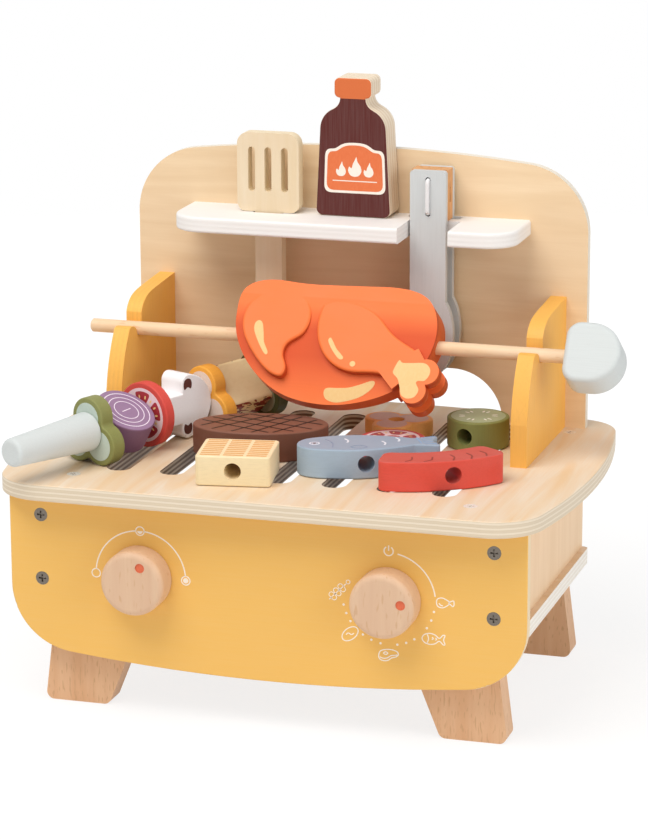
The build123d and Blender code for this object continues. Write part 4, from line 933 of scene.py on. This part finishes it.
tomato_top = Plane((45.0, 101.0, slice_top), (1, 0, 0), (0, 1, 0))
tomato_face("loose_tomato", tomato_top, (0, 0), "loose_tomato")
pale_green = ink("cucumber_flesh_paint", "#A9B58F", "#C2CBB0", 0.2)
cucumber_seed = ink("cucumber_seed_paint", "#F3F4EC", "#FFFFFF", 0.3)
cucumber_top = Plane((87.0, 134.5, top_of_block), (1, 0, 0), (0, 1, 0), -12.7)
sheet("cucumber_flesh", cucumber_top, [arc(15.8, 0, 360, 49)[:-1]], pale_green, "cucumber",
      0.08)
for side in (-1, 1):
    arc_marks("cucumber_seeds_" + ("left" if side < 0 else "right"), cucumber_top, 9.6, 8.5 * side,
              60, 6, 3.8, 1.2, cucumber_seed, "cucumber", 0.13)
print("loose slices done")

# %% Slices on the skewer
near = (-113.0, 37.4, 155.0)
back = Vector((math.sin(skewer_angle), math.cos(skewer_angle), 0))
to_right = Vector((back.y, -back.x, 0))
def across_skewer(along, side=-1):
    """The plane across the skewer at a length along it; side -1 faces the grip."""
    right = to_right if side < 0 else -to_right
    return Plane(Vector(near) + back * along, right, (0, 0, 1))

rod_hole = reach_of_circle(0, 2.15, 4.7)
for kind, middle_along, tint, mottle, slot in (
        ("green", 0.0, "#BCCBC0", "#D3DED6", "vegetable_green"),
        ("yellow", 95.6, "#E9D5C8", "#F5E8DF", "pepper_orange"),
        ("dark", 141.5, "#8F8F74", "#A5A58C", "vegetable_green")):
    inside = ink(kind + "_pepper_inside", tint, mottle, 0.25)
    for face, side in (("near", -1), ("far", 1)):
        plane = across_skewer(middle_along + side * slice_thick / 2, side)
        sheet(f"{kind}_pepper_{face}", plane, [band(rod_hole, pepper_reach(2.9), (0, -2.15))],
              inside, "skewered_food", 0.1)
for face, along, side in (("near", 40.85, -1), ("far", 47.85, 1)):
    tomato_face("skewer_tomato_" + face, across_skewer(along, side), (0, 0.3), "skewered_food")

# %% Onion rings and mushroom marks
onion_out = to_right * 0.5 + Vector((0, 0, 0.8660254))
onion_face = Plane(Vector(near) + back * 22.8 + onion_out * 8.75, back.cross(onion_out), back)
ring_ink = ink("onion_ring_paint", "#F0E4F2", "#FFFFFF", 0.2)
onion_marks = [ring(radius, width, (0, 0), count)
               for radius, width, count in ((14.2, 0.55, 56), (10.8, 0.5, 48), (7.4, 0.5, 40))]
onion_marks.append(ribbon([(0.3, -3.6), (-0.3, 3.6)], 0.55))
sheet("onion_rings", onion_face, onion_marks, ring_ink, "skewered_food", 0.1)
gill_ink = ink("mushroom_mark_paint", "#5A2F2A", "#7A4A42", 0.2)
for side, face in ((1, to_right), (-1, -to_right)):
    cheek = Plane(Vector(near) + face * 8.5, Vector((0, 0, 1)).cross(face), (0, 0, 1))
    drops = []
    for half in (1, -1):
        drop = smooth([(-3.5, -0.6), (-2.6, 2.2), (0, 3.2), (2.6, 2.2), (3.5, -0.6), (2.6, -3.1),
                       (0, -2.0), (-2.6, -3.1)], True)
        drops.append([(side * (70.1 + u), 0.9 + half * (13.4 + v)) for u, v in drop])
    sheet("mushroom_marks_" + ("right" if side > 0 else "left"), cheek, drops, gill_ink,
          "skewered_food", 0.1)
print("skewer marked")

# %% [markdown]
# ## Elastic loop of the tongs
# A white braided elastic runs through both arms and the spacer, and springs the jaws open. It
# is soft, so it takes the place of the CAD loop: two halves meet inside the spacer, one over
# each arm. The rear half is pressed flat, because it has to pass between its arm and the
# backboard. The braid's ridges are in the mesh.

# %% Braided elastic
elastic, tree, shader, coords = start_finish("braided_elastic", 0.8)
shader.inputs["Sheen Weight"].default_value = 0.3
weave = add(tree, "TexWave", {"Vector": coords["Object"], "Scale": 700.0, "Distortion": 1.0,
                              "Detail": 1.0}, bands_direction="DIAGONAL").outputs["Fac"]
settle(elastic, tree, shader, stain(tree, "#D9D8DB", "#F7F6F5", weave, 0.2, 0.8), weave, 0.4, 0.1)

# %% Two halves of the loop
tongs_x, tongs_middle, low_hole, high_hole, bend = 48.1, 174.0, 264.2, 283.6, 1.95

def half_loop(far_y):
    """Points in y and z: out of the spacer's middle, over one arm and back."""
    out = 1 if far_y > tongs_middle else -1
    turn_y = far_y - out * bend
    corner = [math.pi / 2 * i / 6 for i in range(7)]
    rise = high_hole - low_hole - 2 * bend
    path = [(tongs_middle + (turn_y - tongs_middle) * i / 6, low_hole) for i in range(6)]
    path += [(turn_y + out * bend * math.sin(a), low_hole + bend - bend * math.cos(a))
             for a in corner]
    path += [(far_y, low_hole + bend + rise * i / 14) for i in range(1, 14)]
    path += [(turn_y + out * bend * math.cos(a), high_hole - bend + bend * math.sin(a))
             for a in corner]
    return path + [(turn_y + (tongs_middle - turn_y) * i / 6, high_hole) for i in range(1, 7)]

def strand(name, far_y, pressed=1.0):
    """A ridged tube round half of the loop; below 1, pressed flattens it against its arm."""
    path, sides, hinge_z = half_loop(far_y), 16, 274
    sideways, work, rings = Vector((1, 0, 0)), bmesh.new(), []
    for i, (y, z) in enumerate(path):
        before, after = path[max(i - 1, 0)], path[min(i + 1, len(path) - 1)]
        along = Vector((0, after[0] - before[0], after[1] - before[1])).normalized()
        row = []
        for a in [2 * math.pi * k / sides for k in range(sides)]:
            radius = 1.22 + 0.07 * math.cos(4 * a + i * 1.4)
            offset = (sideways * math.cos(a) + along.cross(sideways) * math.sin(a)) * radius
            row.append(work.verts.new(spot(tongs_x + offset.x, y + offset.y * pressed,
                                           z + offset.z)))
        rings.append(row)
    for first, second in zip(rings, rings[1:]):
        for k in range(sides):
            j = (k + 1) % sides
            work.faces.new((first[k], first[j], second[j], second[k]))
    work.faces.new(rings[0][::-1])
    work.faces.new(rings[-1])
    bmesh.ops.recalc_face_normals(work, faces=work.faces)
    for face in work.faces:
        face.smooth = True
    mesh = bpy.data.meshes.new(name)
    work.to_mesh(mesh)
    work.free()
    mesh.materials.append(elastic)
    piece = show(bpy.data.objects.new(name, mesh))
    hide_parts("tongs_elastic")
    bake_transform(piece)

strand("elastic_front", 163.05)
strand("elastic_rear", 184.55, 0.6)
print("elastic in two halves")
